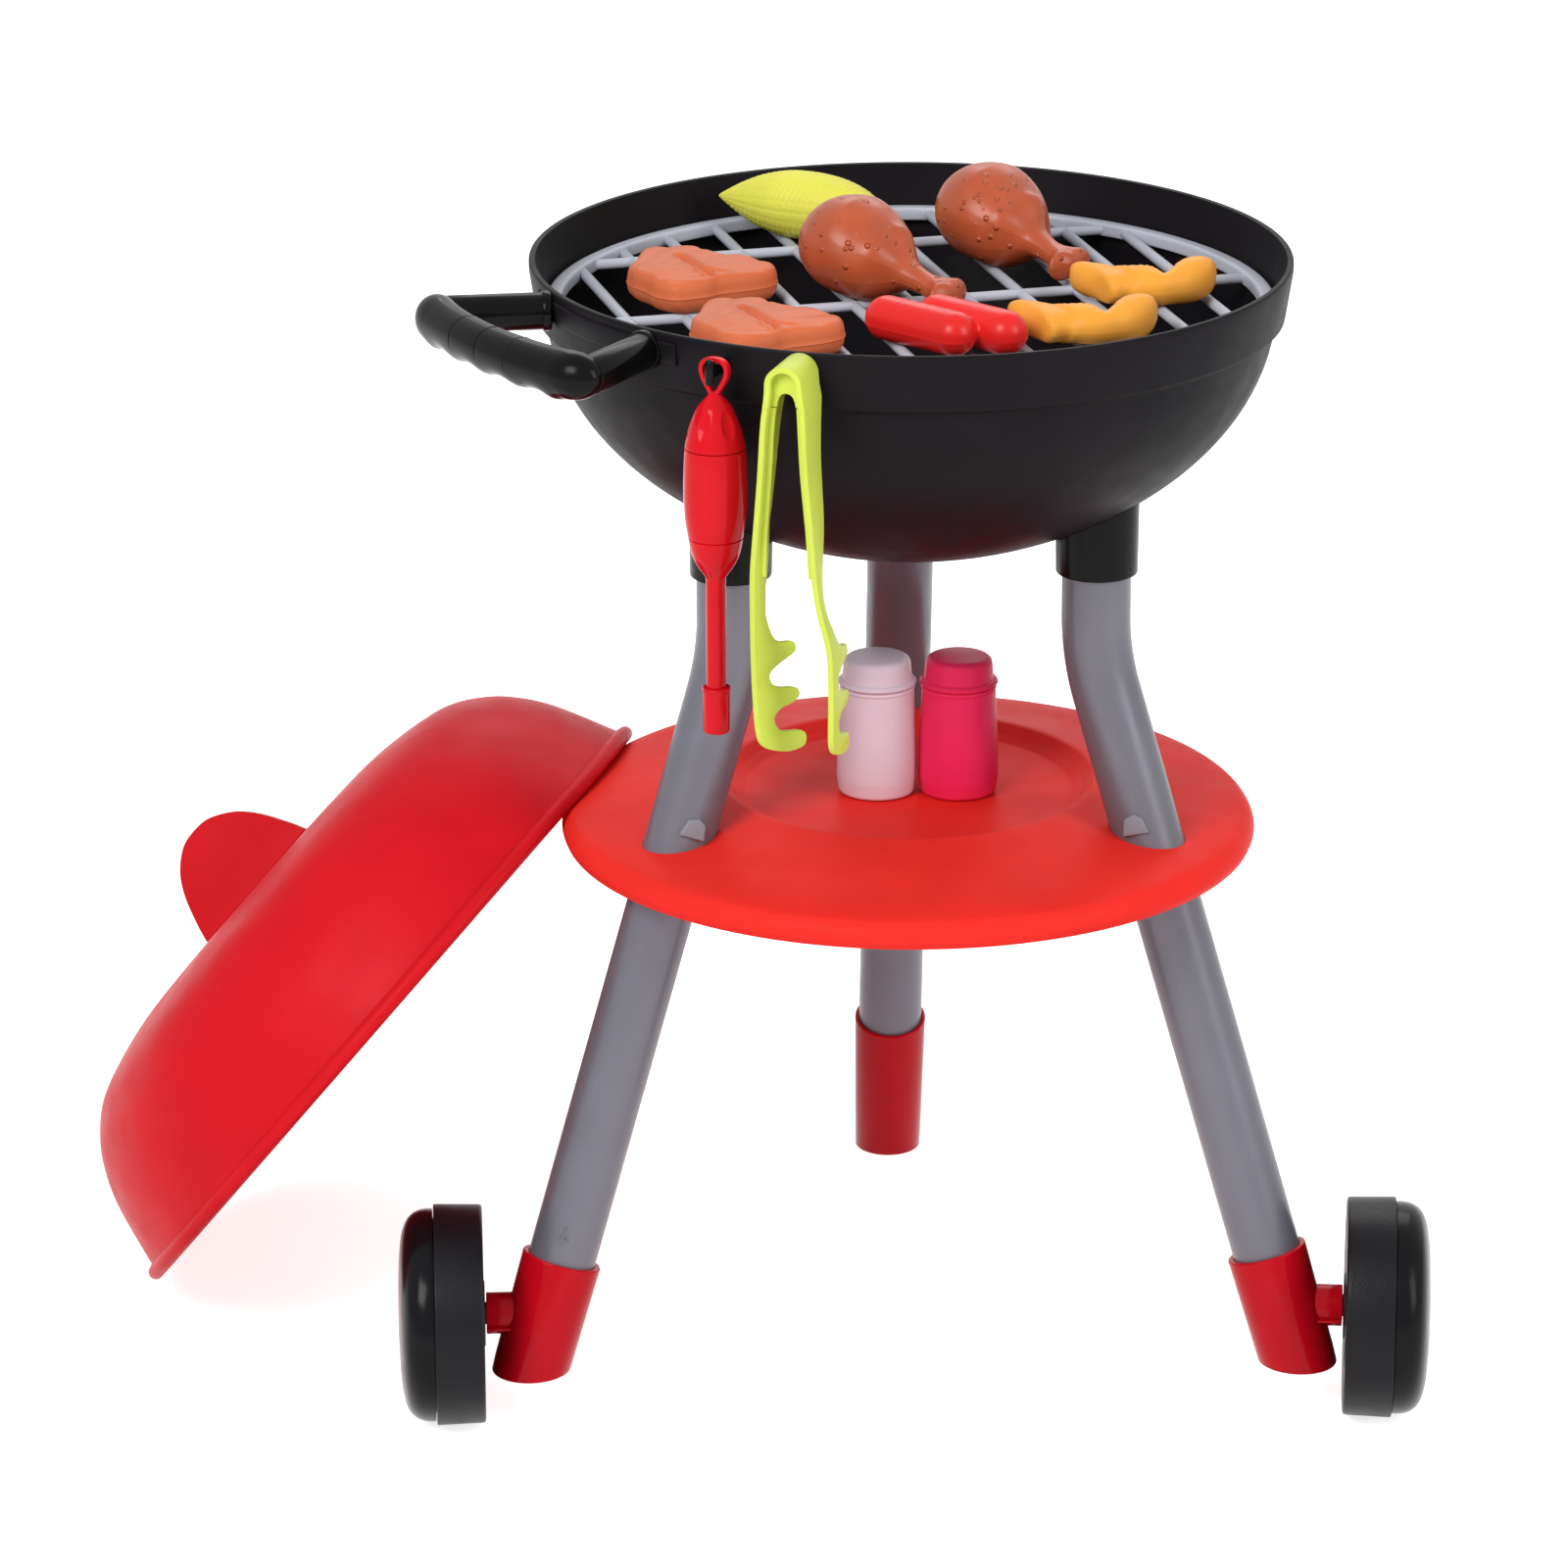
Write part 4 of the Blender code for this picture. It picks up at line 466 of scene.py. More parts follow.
def join(piece, *others):
    """Join other pieces into one."""
    bpy.ops.object.select_all(action='DESELECT')
    for other in others:
        other.select_set(True)
    piece.select_set(True)
    bpy.context.view_layer.objects.active = piece
    bpy.ops.object.join()
    return piece


def fuse(piece, other, operation='UNION'):
    """A boolean with another piece, which is used up."""
    hold(piece, 'BOOLEAN', operation=operation, solver='EXACT', object=other)
    bpy.data.objects.remove(other, do_unlink=True)
    return piece


def about_z(degrees):
    return Matrix.Rotation(math.radians(degrees), 4, 'Z')


def move(x, y, z):
    return Matrix.Translation((x, y, z))


def rod(name, start, end, radius, sides=24, edge=0.0):
    """A round bar between two points, with softened ends."""
    start, end = Vector(start), Vector(end)
    length = (end - start).length
    edge = edge or radius * 0.1
    stations = [(0.0, 0, 0, radius - edge, radius - edge), (edge * 0.3, 0, 0, radius - edge * 0.3, radius - edge * 0.3),
                (edge, 0, 0, radius, radius), (length - edge, 0, 0, radius, radius),
                (length - edge * 0.3, 0, 0, radius - edge * 0.3, radius - edge * 0.3),
                (length, 0, 0, radius - edge, radius - edge)]
    piece = drawn_out(name, stations, sides)
    only(piece)
    piece.matrix_world = (Matrix.Translation(start)
                          @ (end - start).to_track_quat('Z', 'X').to_matrix().to_4x4())
    bpy.ops.object.transform_apply(location=True, rotation=True, scale=True)
    return piece


# Bowl, grate and handle

def bowl_side(count, wall=0.0):
    """The bowl's round underside from the step down, or its inner face a wall's thickness in."""
    row = []
    for i in range(count + 1):
        share = i / count
        angle = share * math.pi / 2
        swell = 1.0 - 0.1098 * share + 0.2169 * share ** 2 - 0.0922 * share ** 3
        reach = swell / math.hypot(math.cos(angle) / 0.158, math.sin(angle) / 0.1053)
        square = Vector((math.cos(angle) / 0.158 ** 2, math.sin(angle) / 0.1053 ** 2)).normalized()
        row.append((max(0.0, reach * math.cos(angle) - wall * square.x),
                    0.4788 - reach * math.sin(angle) + wall * square.y))
    row[-1] = (0.0, row[-1][1])
    return row


def make_bowl():
    outer = rounded([(0.1623, 0.5026, 0.0), (0.165, 0.503, 0.0011), (0.16495, 0.4990),
                     (0.1619, 0.4785, 0.0007), (0.1580, 0.4764, 0.0008), (0.1578, 0.4752)], 5)
    outer += [spot for spot in bowl_side(48) if spot[1] < 0.4745]
    inner = [spot for spot in bowl_side(32, 0.0028) if spot[1] < 0.4740][::-1]
    closing = [(0.1553, 0.4772), (0.1557, 0.4782), (0.1588, 0.4782), (0.1591, 0.4790), (0.1621, 0.5018)]
    outline = outer + inner + closing + [outer[0]]
    bowl = turned("bowl_shell", outline, 192)
    finish(bowl, "bowl_black", "stand", ["bowl"], Matrix.Identity(4), 32.0)
    # The raised pad that the handle's prongs stand on.
    pad = begin("handle_pad")
    draw([(0.1636, 0.0, 0.4992), (0.1660, 0.0, 0.4990), (0.1652, 0.0, 0.4900), (0.1625, 0.0, 0.4892),
          (0.1636, 0.0, 0.4992)])
    bpy.ops.mesh.select_all(action='SELECT')
    bpy.ops.mesh.spin(steps=40, angle=math.radians(37.4), center=(0.0, 0.0, 0.0), axis=(0.0, 0.0, 1.0))
    bpy.ops.mesh.select_all(action='SELECT')
    bpy.ops.mesh.remove_doubles(threshold=0.000002)
    bpy.ops.mesh.fill_holes(sides=0)
    close_up()
    hold(pad, 'BEVEL', width=0.0006, segments=3, limit_method='ANGLE', angle_limit=math.radians(40.0))
    finish(pad, "bowl_black", "stand", (), about_z(212.9 + 18.7), 35.0)


def make_grate():
    ring = turned("grate_ring", rounded([(0.1510, 0.4810), (0.1512, 0.4845, 0.002), (0.1581, 0.4846, 0.0025),
                                         (0.1581, 0.4786, 0.0010), (0.1510, 0.4786, 0.0010), (0.1510, 0.4810)], 5), 144)
    bars = []
    for i in range(-5, 6):
        aside = 0.0251 * i
        reach = math.sqrt(0.1545 ** 2 - aside ** 2)
        bars.append(rod("bar_%d" % i, (aside, -reach, 0.4811), (aside, reach, 0.4811), 0.0023, 20))
    for j in (-1, 0, 1):
        aside = 0.097 * j
        reach = math.sqrt(0.1545 ** 2 - aside ** 2)
        bars.append(rod("cross_%d" % j, (-reach, aside, 0.4812), (reach, aside, 0.4812), 0.0023, 20))
    join(ring, *bars)
    ring.name = "grate_moulding"
    finish(ring, "grate_grey", "grate", ["grate"], about_z(13.6), 40.0)


def make_handle():
    half, reach, bow = 0.0660, 0.2035, 0.009
    shares = [(-1.0, 0.02), (-0.995, 0.22), (-0.975, 0.47), (-0.945, 0.69), (-0.90, 0.87), (-0.84, 0.98),
              (-0.77, 1.0), (-0.68, 0.97), (-0.5, 0.93), (-0.25, 0.915), (0.0, 0.91), (0.25, 0.915),
              (0.5, 0.93), (0.68, 0.97), (0.77, 1.0), (0.84, 0.98), (0.90, 0.87), (0.945, 0.69),
              (0.975, 0.47), (0.995, 0.22), (1.0, 0.02)]
    row = curved(shares, 5)
    stations = []
    for place, share in row:
        radius = 0.0102 * max(share, 0.01)
        stations.append((half * place, reach + bow * (1 - place * place), 0.0, radius, radius))
    grip = drawn_out("grip", stations, 40)

    def finger_ridges(spots):
        place = spots[:, 2] / half
        under = np.clip(-spots[:, 1] / 0.009, 0.0, 1.0)
        fade = np.clip((0.80 - np.abs(place)) / 0.1, 0.0, 1.0)
        wave = 0.5 - 0.5 * np.cos(place * 5.5 * math.tau / 2.0 + math.pi)
        spots[:, 1] -= 0.0016 * under * fade * wave ** 1.5
        return spots

    press(grip, finger_ridges)
    # Z along the grip becomes the way round the band, Y becomes height.
    only(grip)
    grip.matrix_world = Matrix(((1, 0, 0, 0), (0, 0, 1, 0), (0, 1, 0, 0.4940), (0, 0, 0, 1)))
    bpy.ops.object.transform_apply(location=True, rotation=True, scale=True)
    only(grip)
    bpy.ops.object.mode_set(mode='EDIT')
    bpy.ops.mesh.select_all(action='SELECT')
    bpy.ops.mesh.normals_make_consistent(inside=False)
    bpy.ops.object.mode_set(mode='OBJECT')
    prongs = []
    for sign in (-1.0, 1.0):
        foot = Vector((math.sqrt(0.1652 ** 2 - 0.037 ** 2), 0.037 * sign, 0.4940))
        end = Vector((reach, 0.0585 * sign, 0.4940))
        along = (end - foot).normalized()
        prongs.append(rod("prong", foot - along * 0.0005, end, 0.0080, 40, 0.0006))
        prongs.append(rod("prong_collar", foot - along * 0.0005, foot + along * 0.0035, 0.0086, 40, 0.0009))
    # Fine raised rings round the grip.
    for place in (-0.62, -0.31, 0.0, 0.31, 0.62):
        bpy.ops.mesh.primitive_torus_add(major_segments=48, minor_segments=8, major_radius=0.00930,
                                         minor_radius=0.00022,
                                         location=(reach + bow * (1 - place * place), half * place, 0.4940),
                                         rotation=(math.radians(90.0), 0.0, math.atan(2 * bow * place / half)))
        ring = bpy.context.object
        bpy.ops.object.transform_apply(location=True, rotation=True, scale=True)
        prongs.append(ring)
    join(grip, *prongs)
    grip.name = "handle_moulding"
    finish(grip, "handle_black", "stand", ["handle"], about_z(212.9), 40.0)


def make_hook(side, degrees):
    arm = slab("hook_arm", [(0.1640, -0.0013), (0.1790, -0.0013), (0.1790, 0.0013), (0.1640, 0.0013)],
               0.4917, 0.4970, 0.0004)
    post = drawn_out("hook_post", [(0.4887, 0.1790, 0, 0.0008, 0.0010), (0.4889, 0.1790, 0, 0.0012, 0.0016),
                                   (0.4895, 0.1790, 0, 0.0015, 0.0020), (0.4982, 0.1790, 0, 0.0015, 0.0020),
                                   (0.4992, 0.1790, 0, 0.0012, 0.0017), (0.4997, 0.1790, 0, 0.0005, 0.0007)], 24)
    join(arm, post)
    arm.name = "hook_moulding_" + side
    finish(arm, "hook_black", "stand", ["hook_" + side], about_z(degrees), 40.0)


# Legs, sockets, shelf and feet

SPLAY = math.radians(18.62)
LEG_TURNS = {"front_left": 210.7, "front_right": 329.3, "rear": 90.0}
BEND_Z = 0.3364


def leg_spot(height):
    return 0.0919 + math.tan(SPLAY) * (BEND_Z - height)


def make_leg(side, end_z):
    top, radius, bend_r = 0.3826, 0.015, 0.11
    reach = bend_r * math.tan(SPLAY / 2)
    bpy.ops.mesh.primitive_circle_add(vertices=56, radius=radius, fill_type='NGON', location=(0.0919, 0.0, top))
    leg = bpy.context.object
    leg.name = "leg_tube_" + side
    bpy.ops.object.transform_apply(location=True, rotation=True, scale=True)
    bpy.ops.object.mode_set(mode='EDIT')
    bpy.ops.mesh.select_all(action='SELECT')
    bpy.ops.mesh.extrude_region_move(TRANSFORM_OT_translate={"value": (0.0, 0.0, BEND_Z + reach - top)})
    steps = 14
    for _ in range(steps):
        bpy.ops.mesh.extrude_region_move(TRANSFORM_OT_translate={"value": (0.0, 0.0, 0.0)})
        bpy.ops.transform.rotate(value=SPLAY / steps, orient_axis='Y',
                                 center_override=(0.0919 + bend_r, 0.0, BEND_Z + reach))
    start = Vector((0.0919 + math.sin(SPLAY) * reach, 0.0, BEND_Z - math.cos(SPLAY) * reach))
    end = Vector((leg_spot(end_z), 0.0, end_z))
    bpy.ops.mesh.extrude_region_move(TRANSFORM_OT_translate={"value": end - start})
    close_up()
    finish(leg, "leg_silver", "stand", ["leg_" + side], about_z(LEG_TURNS[side]), 40.0)


def leg_axes(height):
    """Placing on a leg's axis at a height: Z up along the leg, X outward."""
    point = Vector((leg_spot(height), 0.0, height))
    return Matrix.Translation(point) @ Matrix.Rotation(-SPLAY, 4, 'Y')


def make_lug(side, inward):
    """The small pale latch on a front leg, just over the shelf."""
    outline = [(-0.0062, -0.0045), (0.0056, -0.0052), (0.0044, 0.0018), (0.0010, 0.0042), (-0.0036, 0.0030)]
    lug = slab("leg_latch_" + side, outline, 0.0, 0.0030, 0.0009)
    turn = about_z(LEG_TURNS[side])
    place = turn @ leg_axes(0.2655) @ about_z(inward) @ move(0.0138, 0.0, 0.0)
    place = place @ Matrix(((0, 0, 1, 0), (1, 0, 0, 0), (0, 1, 0, 0), (0, 0, 0, 1)))
    finish(lug, "leg_lug", "stand", (), place, 30.0)


def make_arrow():
    """The small raised arrow low on the front left leg."""
    outline = [(-0.0005, 0.0042), (0.0005, 0.0042), (0.0005, -0.0016), (0.0019, 0.0001), (0.0025, -0.0004),
               (0.0, -0.0036), (-0.0025, -0.0004), (-0.0019, 0.0001), (-0.0005, -0.0016)]
    arrow = slab("leg_arrow", outline, 0.0, 0.0008, 0.0002, 1)
    place = about_z(LEG_TURNS["front_left"]) @ leg_axes(0.0850) @ about_z(48.0) @ move(0.0148, 0.0, 0.0)
    place = place @ Matrix(((0, 0, 1, 0), (1, 0, 0, 0), (0, 1, 0, 0), (0, 0, 0, 1)))
    finish(arrow, "leg_silver", "stand", (), place, 30.0)


def make_socket(side):
    """The cup from the bowl's underside down over the leg."""
    low = 0.3733
    tall = 0.4035 if side == "rear" else 0.4035
    outline = rounded([(0.0, 0.3838), (0.0152, 0.3838), (0.0152, low, 0.0006), (0.0178, low, 0.0010),
                       (0.0180, 0.4020), (0.0, 0.4020)], 4)
    cup = turned("socket_cup_" + side, outline, 72)

    def meet_bowl(spots):
        radius = np.hypot(spots[:, 0] + 0.0919, spots[:, 1])
        table_r, table_z = zip(*bowl_side(48)[::-1])
        bowl_z = np.interp(radius, table_r, table_z) - 0.0002
        top = spots[:, 2] > 0.4
        spots[top, 2] = bowl_z[top]
        return spots

    press(cup, meet_bowl)
    finish(cup, "socket_black", "stand", ["socket_" + side],
           about_z(LEG_TURNS[side]) @ move(0.0919, 0.0, 0.0), 35.0)


def make_shelf():
    top = curved([(0.1530, 0.2398), (0.1541, 0.2431), (0.1533, 0.2466), (0.1512, 0.2497), (0.1475, 0.2521),
                  (0.1350, 0.2550), (0.1180, 0.2577), (0.1000, 0.2612), (0.0905, 0.2633), (0.0870, 0.2641)], 5)
    dish = rounded([(0.0870, 0.2641), (0.0830, 0.2649, 0.0040), (0.0775, 0.2612, 0.0050), (0.0725, 0.2586, 0.0050),
                    (0.0, 0.2585)], 8)
    under = rounded([(0.0, 0.2560), (0.0740, 0.2561, 0.002), (0.0820, 0.2625, 0.002), (0.0870, 0.2624)], 4)
    under += [(0.1000, 0.2586), (0.1180, 0.2551), (0.1350, 0.2524), (0.1465, 0.2497), (0.1500, 0.2466),
              (0.1513, 0.2431), (0.1512, 0.2399), (0.1530, 0.2398)]
    shelf = turned("shelf_disc", top + dish[1:] + under, 160)
    for side in LEG_TURNS:
        turn = about_z(LEG_TURNS[side])
        hole = rod("leg_hole", turn @ (leg_axes(0.2250) @ Vector((0.0, 0.0, 0.0))),
                   turn @ (leg_axes(0.2850) @ Vector((0.0, 0.0, 0.0))), 0.0152, 56)
        fuse(shelf, hole, 'DIFFERENCE')
    finish(shelf, "shelf_red", "stand", ["shelf"], Matrix.Identity(4), 30.0)


def make_foot(side, top_z, bottom_z, top_r, low_r, floor_z, edge):
    """A cup on the end of a leg with a level sole."""
    slope = math.cos(SPLAY)
    tall = (top_z - 0.0) / slope
    deep = (bottom_z - 0.012) / slope
    base = leg_axes(0.0)
    bore = 0.0151
    outline = rounded([(0.0, deep), (low_r - 0.0004, deep), (low_r + (top_r - low_r) * 0.3, tall * 0.35),
                       (top_r, tall, 0.0008), (bore, tall, 0.0005), (bore, (bottom_z + 0.02) / slope),
                       (0.0, (bottom_z + 0.02) / slope)], 4)
    foot = turned("foot_cup_" + side, outline, 72)
    only(foot)
    foot.matrix_world = base
    bpy.ops.object.transform_apply(location=True, rotation=True, scale=True)
    bpy.ops.object.mode_set(mode='EDIT')
    bpy.ops.mesh.select_all(action='SELECT')
    bpy.ops.mesh.bisect(plane_co=(0.0, 0.0, bottom_z), plane_no=(0.0, 0.0, -1.0), use_fill=True, clear_outer=True)
    close_up()
    hold(foot, 'BEVEL', width=edge, segments=4, limit_method='ANGLE', angle_limit=math.radians(45.0))
    return foot


WHEEL_TOES = {"left": 2.0, "right": -6.0}


def axle_place(side):
    """Placing of a wheel's axle in the bowl's frame: Z outward."""
    turn = about_z(LEG_TURNS["front_" + side])
    centre = turn @ Vector((leg_spot(0.0486), 0.0, 0.0486))
    outward = math.copysign(math.pi / 2, centre.x)
    return Matrix.Translation(centre) @ about_z(WHEEL_TOES[side]) @ Matrix.Rotation(outward, 4, 'Y')


def make_front_foot(side):
    foot = make_foot("front_" + side, 0.0726, 0.0235, 0.0177, 0.0166, 0.004, 0.0012)
    only(foot)
    foot.matrix_world = about_z(LEG_TURNS["front_" + side])
    bpy.ops.object.transform_apply(location=True, rotation=True, scale=True)
    axle = axle_place(side)
    stub = rod("stub", axle @ Vector((0.0, 0.0, 0.006)), axle @ Vector((0.0, 0.0, 0.0267)), 0.00925, 56, 0.0005)
    pin = rod("pin", axle @ Vector((0.0, 0.0, 0.020)), axle @ Vector((0.0, 0.0, 0.0395)), 0.0050, 32, 0.0003)
    fuse(foot, stub)
    fuse(foot, pin)
    # A thin fin along the stub's lower half that runs onto the cup.
    out = 1.0 if side == "right" else -1.0
    fin = slab("fin", [(0.012, -0.0106), (0.0266, -0.0106), (0.0266, 0.0106), (0.012, 0.0106)], -0.0005, 0.0005, 0.0002)
    only(fin)
    fin.matrix_world = axle @ Matrix(((0, 0, -out, 0), (0, 1, 0, 0), (1, 0, 0, 0), (0, 0, 0, 1))) @ move(0.0, 0.0, -0.0037)
    bpy.ops.object.transform_apply(location=True, rotation=True, scale=True)
    join(foot, fin)
    foot.name = "foot_moulding_" + side
    finish(foot, "foot_red", "stand", ["foot_front_" + side], Matrix.Identity(4), 35.0)


def make_rear_foot():
    foot = make_foot("rear", 0.0775, 0.0, 0.0169, 0.0160, 0.004, 0.0010)
    finish(foot, "foot_red", "stand", ["foot_rear"], about_z(90.0), 35.0)


def make_wheel(side):
    """The tread with its web and collar, and the domed cap."""
    axle = axle_place(side)
    inner, width, radius = 0.0275, 0.0217, 0.0486
    outer = inner + width
    outline = rounded([(0.0053, inner - 0.0003), (0.0145, inner - 0.0003, 0.0002), (0.0145, inner + 0.0004),
                       (0.0440, inner + 0.0006), (radius - 0.0006, inner, 0.0020), (radius, outer - 0.001),
                       (radius - 0.0001, outer, 0.0007), (0.0440, outer), (0.0436, inner + 0.0050),
                       (0.0096, inner + 0.0040), (0.0096, inner + 0.0125), (0.0053, inner + 0.0125),
                       (0.0053, inner - 0.0003)], 5)
    wheel = turned("wheel_tread_" + side, outline, 128)
    finish(wheel, "wheel_black", "wheel_" + side, ["wheel_" + side], axle, 32.0)
    dome = 0.0158
    shares = [(0.996, 0.0), (0.998, 0.10), (0.994, 0.24), (0.982, 0.40), (0.955, 0.56), (0.905, 0.71), (0.83, 0.82),
              (0.73, 0.895), (0.60, 0.942), (0.43, 0.974), (0.22, 0.994), (0.0, 1.0)]
    top = [(0.0470 * r, outer + 0.0004 + dome * z) for r, z in curved(shares, 4)]
    cap = turned("hub_dome_" + side, [(0.0, outer - 0.0010), (0.0430, outer - 0.0010), (0.0430, outer + 0.0003)]
                 + top, 128)
    finish(cap, "hubcap_black", "wheel_" + side, ["hubcap_" + side], axle, 30.0)


# Lid

LID_CENTRE = (-0.23495, 0.06729, 0.13135)


def lid_place():
    up = Vector((-0.74798, 0.21411, 0.62824)).normalized()
    fin = Vector((0.667, 0.236, 0.706))
    fin = (fin - up * fin.dot(up)).normalized()
    return Matrix.Translation(LID_CENTRE) @ Matrix((fin, up.cross(fin), up)).transposed().to_4x4()


def make_lid():
    shares = [(0.9701, 0.049), (0.9104, 0.405), (0.8537, 0.6135), (0.7982, 0.7423), (0.7242, 0.8528),
              (0.6328, 0.9178), (0.4925, 0.973), (0.3522, 0.9877), (0.2030, 0.9939), (0.0, 1.0)]
    outer = [(0.1675 * r, 0.0815 * h) for r, h in curved(shares, 6)]
    inner = [(max(0.0, r - 0.0025), h - 0.0012 - 0.0013 * min(1.0, h / 0.07)) for r, h in outer]
    bead = []
    for i in range(13):
        angle = math.radians(72.0 - 22.0 * i)
        bead.append((0.1640 + 0.0035 * math.cos(angle), 0.0035 * math.sin(angle)))
    dome = turned("lid_dome", outer[::-1] + bead + inner, 200)
    finish(dome, "lid_red", "lid", ["lid"], lid_place(), 30.0)
    # The upright fin: a rounded hump that flares a little where it meets the dome.
    side = [(1.0, 0.0), (0.94, 0.16), (0.87, 0.31), (0.80, 0.45), (0.70, 0.61), (0.555, 0.775), (0.34, 0.92),
            (0.14, 0.985)]
    hump = [(-x, z) for x, z in reversed(side)]
    row = curved(side + hump, 5)
    thick = 0.0066
    fin = slab("lid_fin", [(0.0345 * x, 0.0817 + 0.0388 * z) for x, z in row], -thick, thick, 0.0046, 5)

    def taper(spots):
        up = np.clip((spots[:, 1] - 0.0817) / 0.0388, 0.0, 1.0)
        spots[:, 2] *= 1.06 - 0.32 * up + 0.10 * np.exp(-up * 14.0)
        return spots

    press(fin, taper)
    only(fin)
    fin.matrix_world = Matrix(((1, 0, 0, 0), (0, 0, -1, 0), (0, 1, 0, 0), (0, 0, 0, 1)))
    bpy.ops.object.transform_apply(location=True, rotation=True, scale=True)
    finish(fin, "lid_red", "lid", ["lid_handle"], lid_place(), 50.0)


# Shakers

def make_shaker(colour, x, y):
    low, height = 0.2588, 0.0635
    split = low + height - 0.0135
    body = turned("shaker_jar_" + colour, rounded(
        [(0.0, low + 0.0003), (0.0128, low, 0.003), (0.0168, low + 0.0002, 0.0030), (0.0177, low + 0.0075, 0.006),
         (0.0176, low + 0.020), (0.0164, split - 0.0035), (0.0163, split - 0.0022, 0.0004), (0.0167, split - 0.0014, 0.0004),
         (0.0163, split - 0.0003), (0.0, split - 0.0003)], 6), 96)
    finish(body, "shaker_" + colour, "shaker_" + colour, ["shaker_%s_body" % colour], move(x, y, 0.0), 35.0)
    cap = turned("shaker_lid_" + colour, rounded(
        [(0.0, split), (0.0163, split), (0.0177, split + 0.0012, 0.0010), (0.0164, split + 0.0026, 0.0005),
         (0.0153, split + 0.0030, 0.0006), (0.0152, split + 0.0055), (0.0146, split + 0.0126, 0.0085), (0.0060, split + 0.0133),
         (0.0, split + 0.0135)], 8), 96)

    def stamp(spots):
        x_, y_ = spots[:, 0], spots[:, 1]
        top = spots[:, 2] > split + 0.0128
        middle = np.hypot(x_, y_)
        spots[:, 2] += np.where(top & (middle < 0.0022), 0.0004, 0.0)
        return spots

    press(cap, stamp)
    finish(cap, "shaker_" + colour, "shaker_" + colour, ["shaker_%s_cap" % colour], move(x, y, 0.0), 35.0)


# Pretend food

def lie_along_x():
    """Z of a drawn-out piece becomes the length, its Y the height."""
    return Matrix(((0, 0, 1, 0), (1, 0, 0, 0), (0, 1, 0, 0), (0, 0, 0, 1)))


def make_corn():
    length, radius = 0.0816, 0.0153
    shares = [(0.0, 0.004), (0.02, 0.09), (0.06, 0.22), (0.15, 0.49), (0.27, 0.77), (0.42, 0.965), (0.57, 1.0),
              (0.71, 0.93), (0.83, 0.76), (0.93, 0.50), (0.985, 0.24), (1.0, 0.02)]
    row = curved(shares, 16)
    stations = [(length * (place - 0.5), 0.0, 0.0, radius * max(share, 0.004), radius * max(share, 0.004))
                for place, share in row]
    ear = drawn_out("corn_ear", stations, 144)

    def kernels(spots):
        along = spots[:, 2] / length + 0.5
        around = np.arctan2(spots[:, 1], spots[:, 0])
        distance = np.hypot(spots[:, 0], spots[:, 1])
        rows = 20.0
        twist = around * rows / math.tau
        steps = along * 31.0
        dome = (np.abs(np.sin(math.pi * twist)) ** 0.35 * 0.4
                + np.abs(np.sin(math.pi * (steps + 0.5 * twist))) ** 0.7 * 0.6)
        fade = np.clip(distance / 0.006, 0.0, 1.0)
        change = 1.0 + (dome - 0.8) * 0.00075 * fade / np.maximum(distance, 0.002)
        spots[:, 0] *= change
        spots[:, 1] *= change
        return spots

    press(ear, kernels)
    place = move(-0.0450, 0.1066, 0.4836 + radius - 0.0012) @ about_z(-27.0) @ lie_along_x()
    finish(ear, "corn_yellow", "corn", ["corn"], place, 60.0)


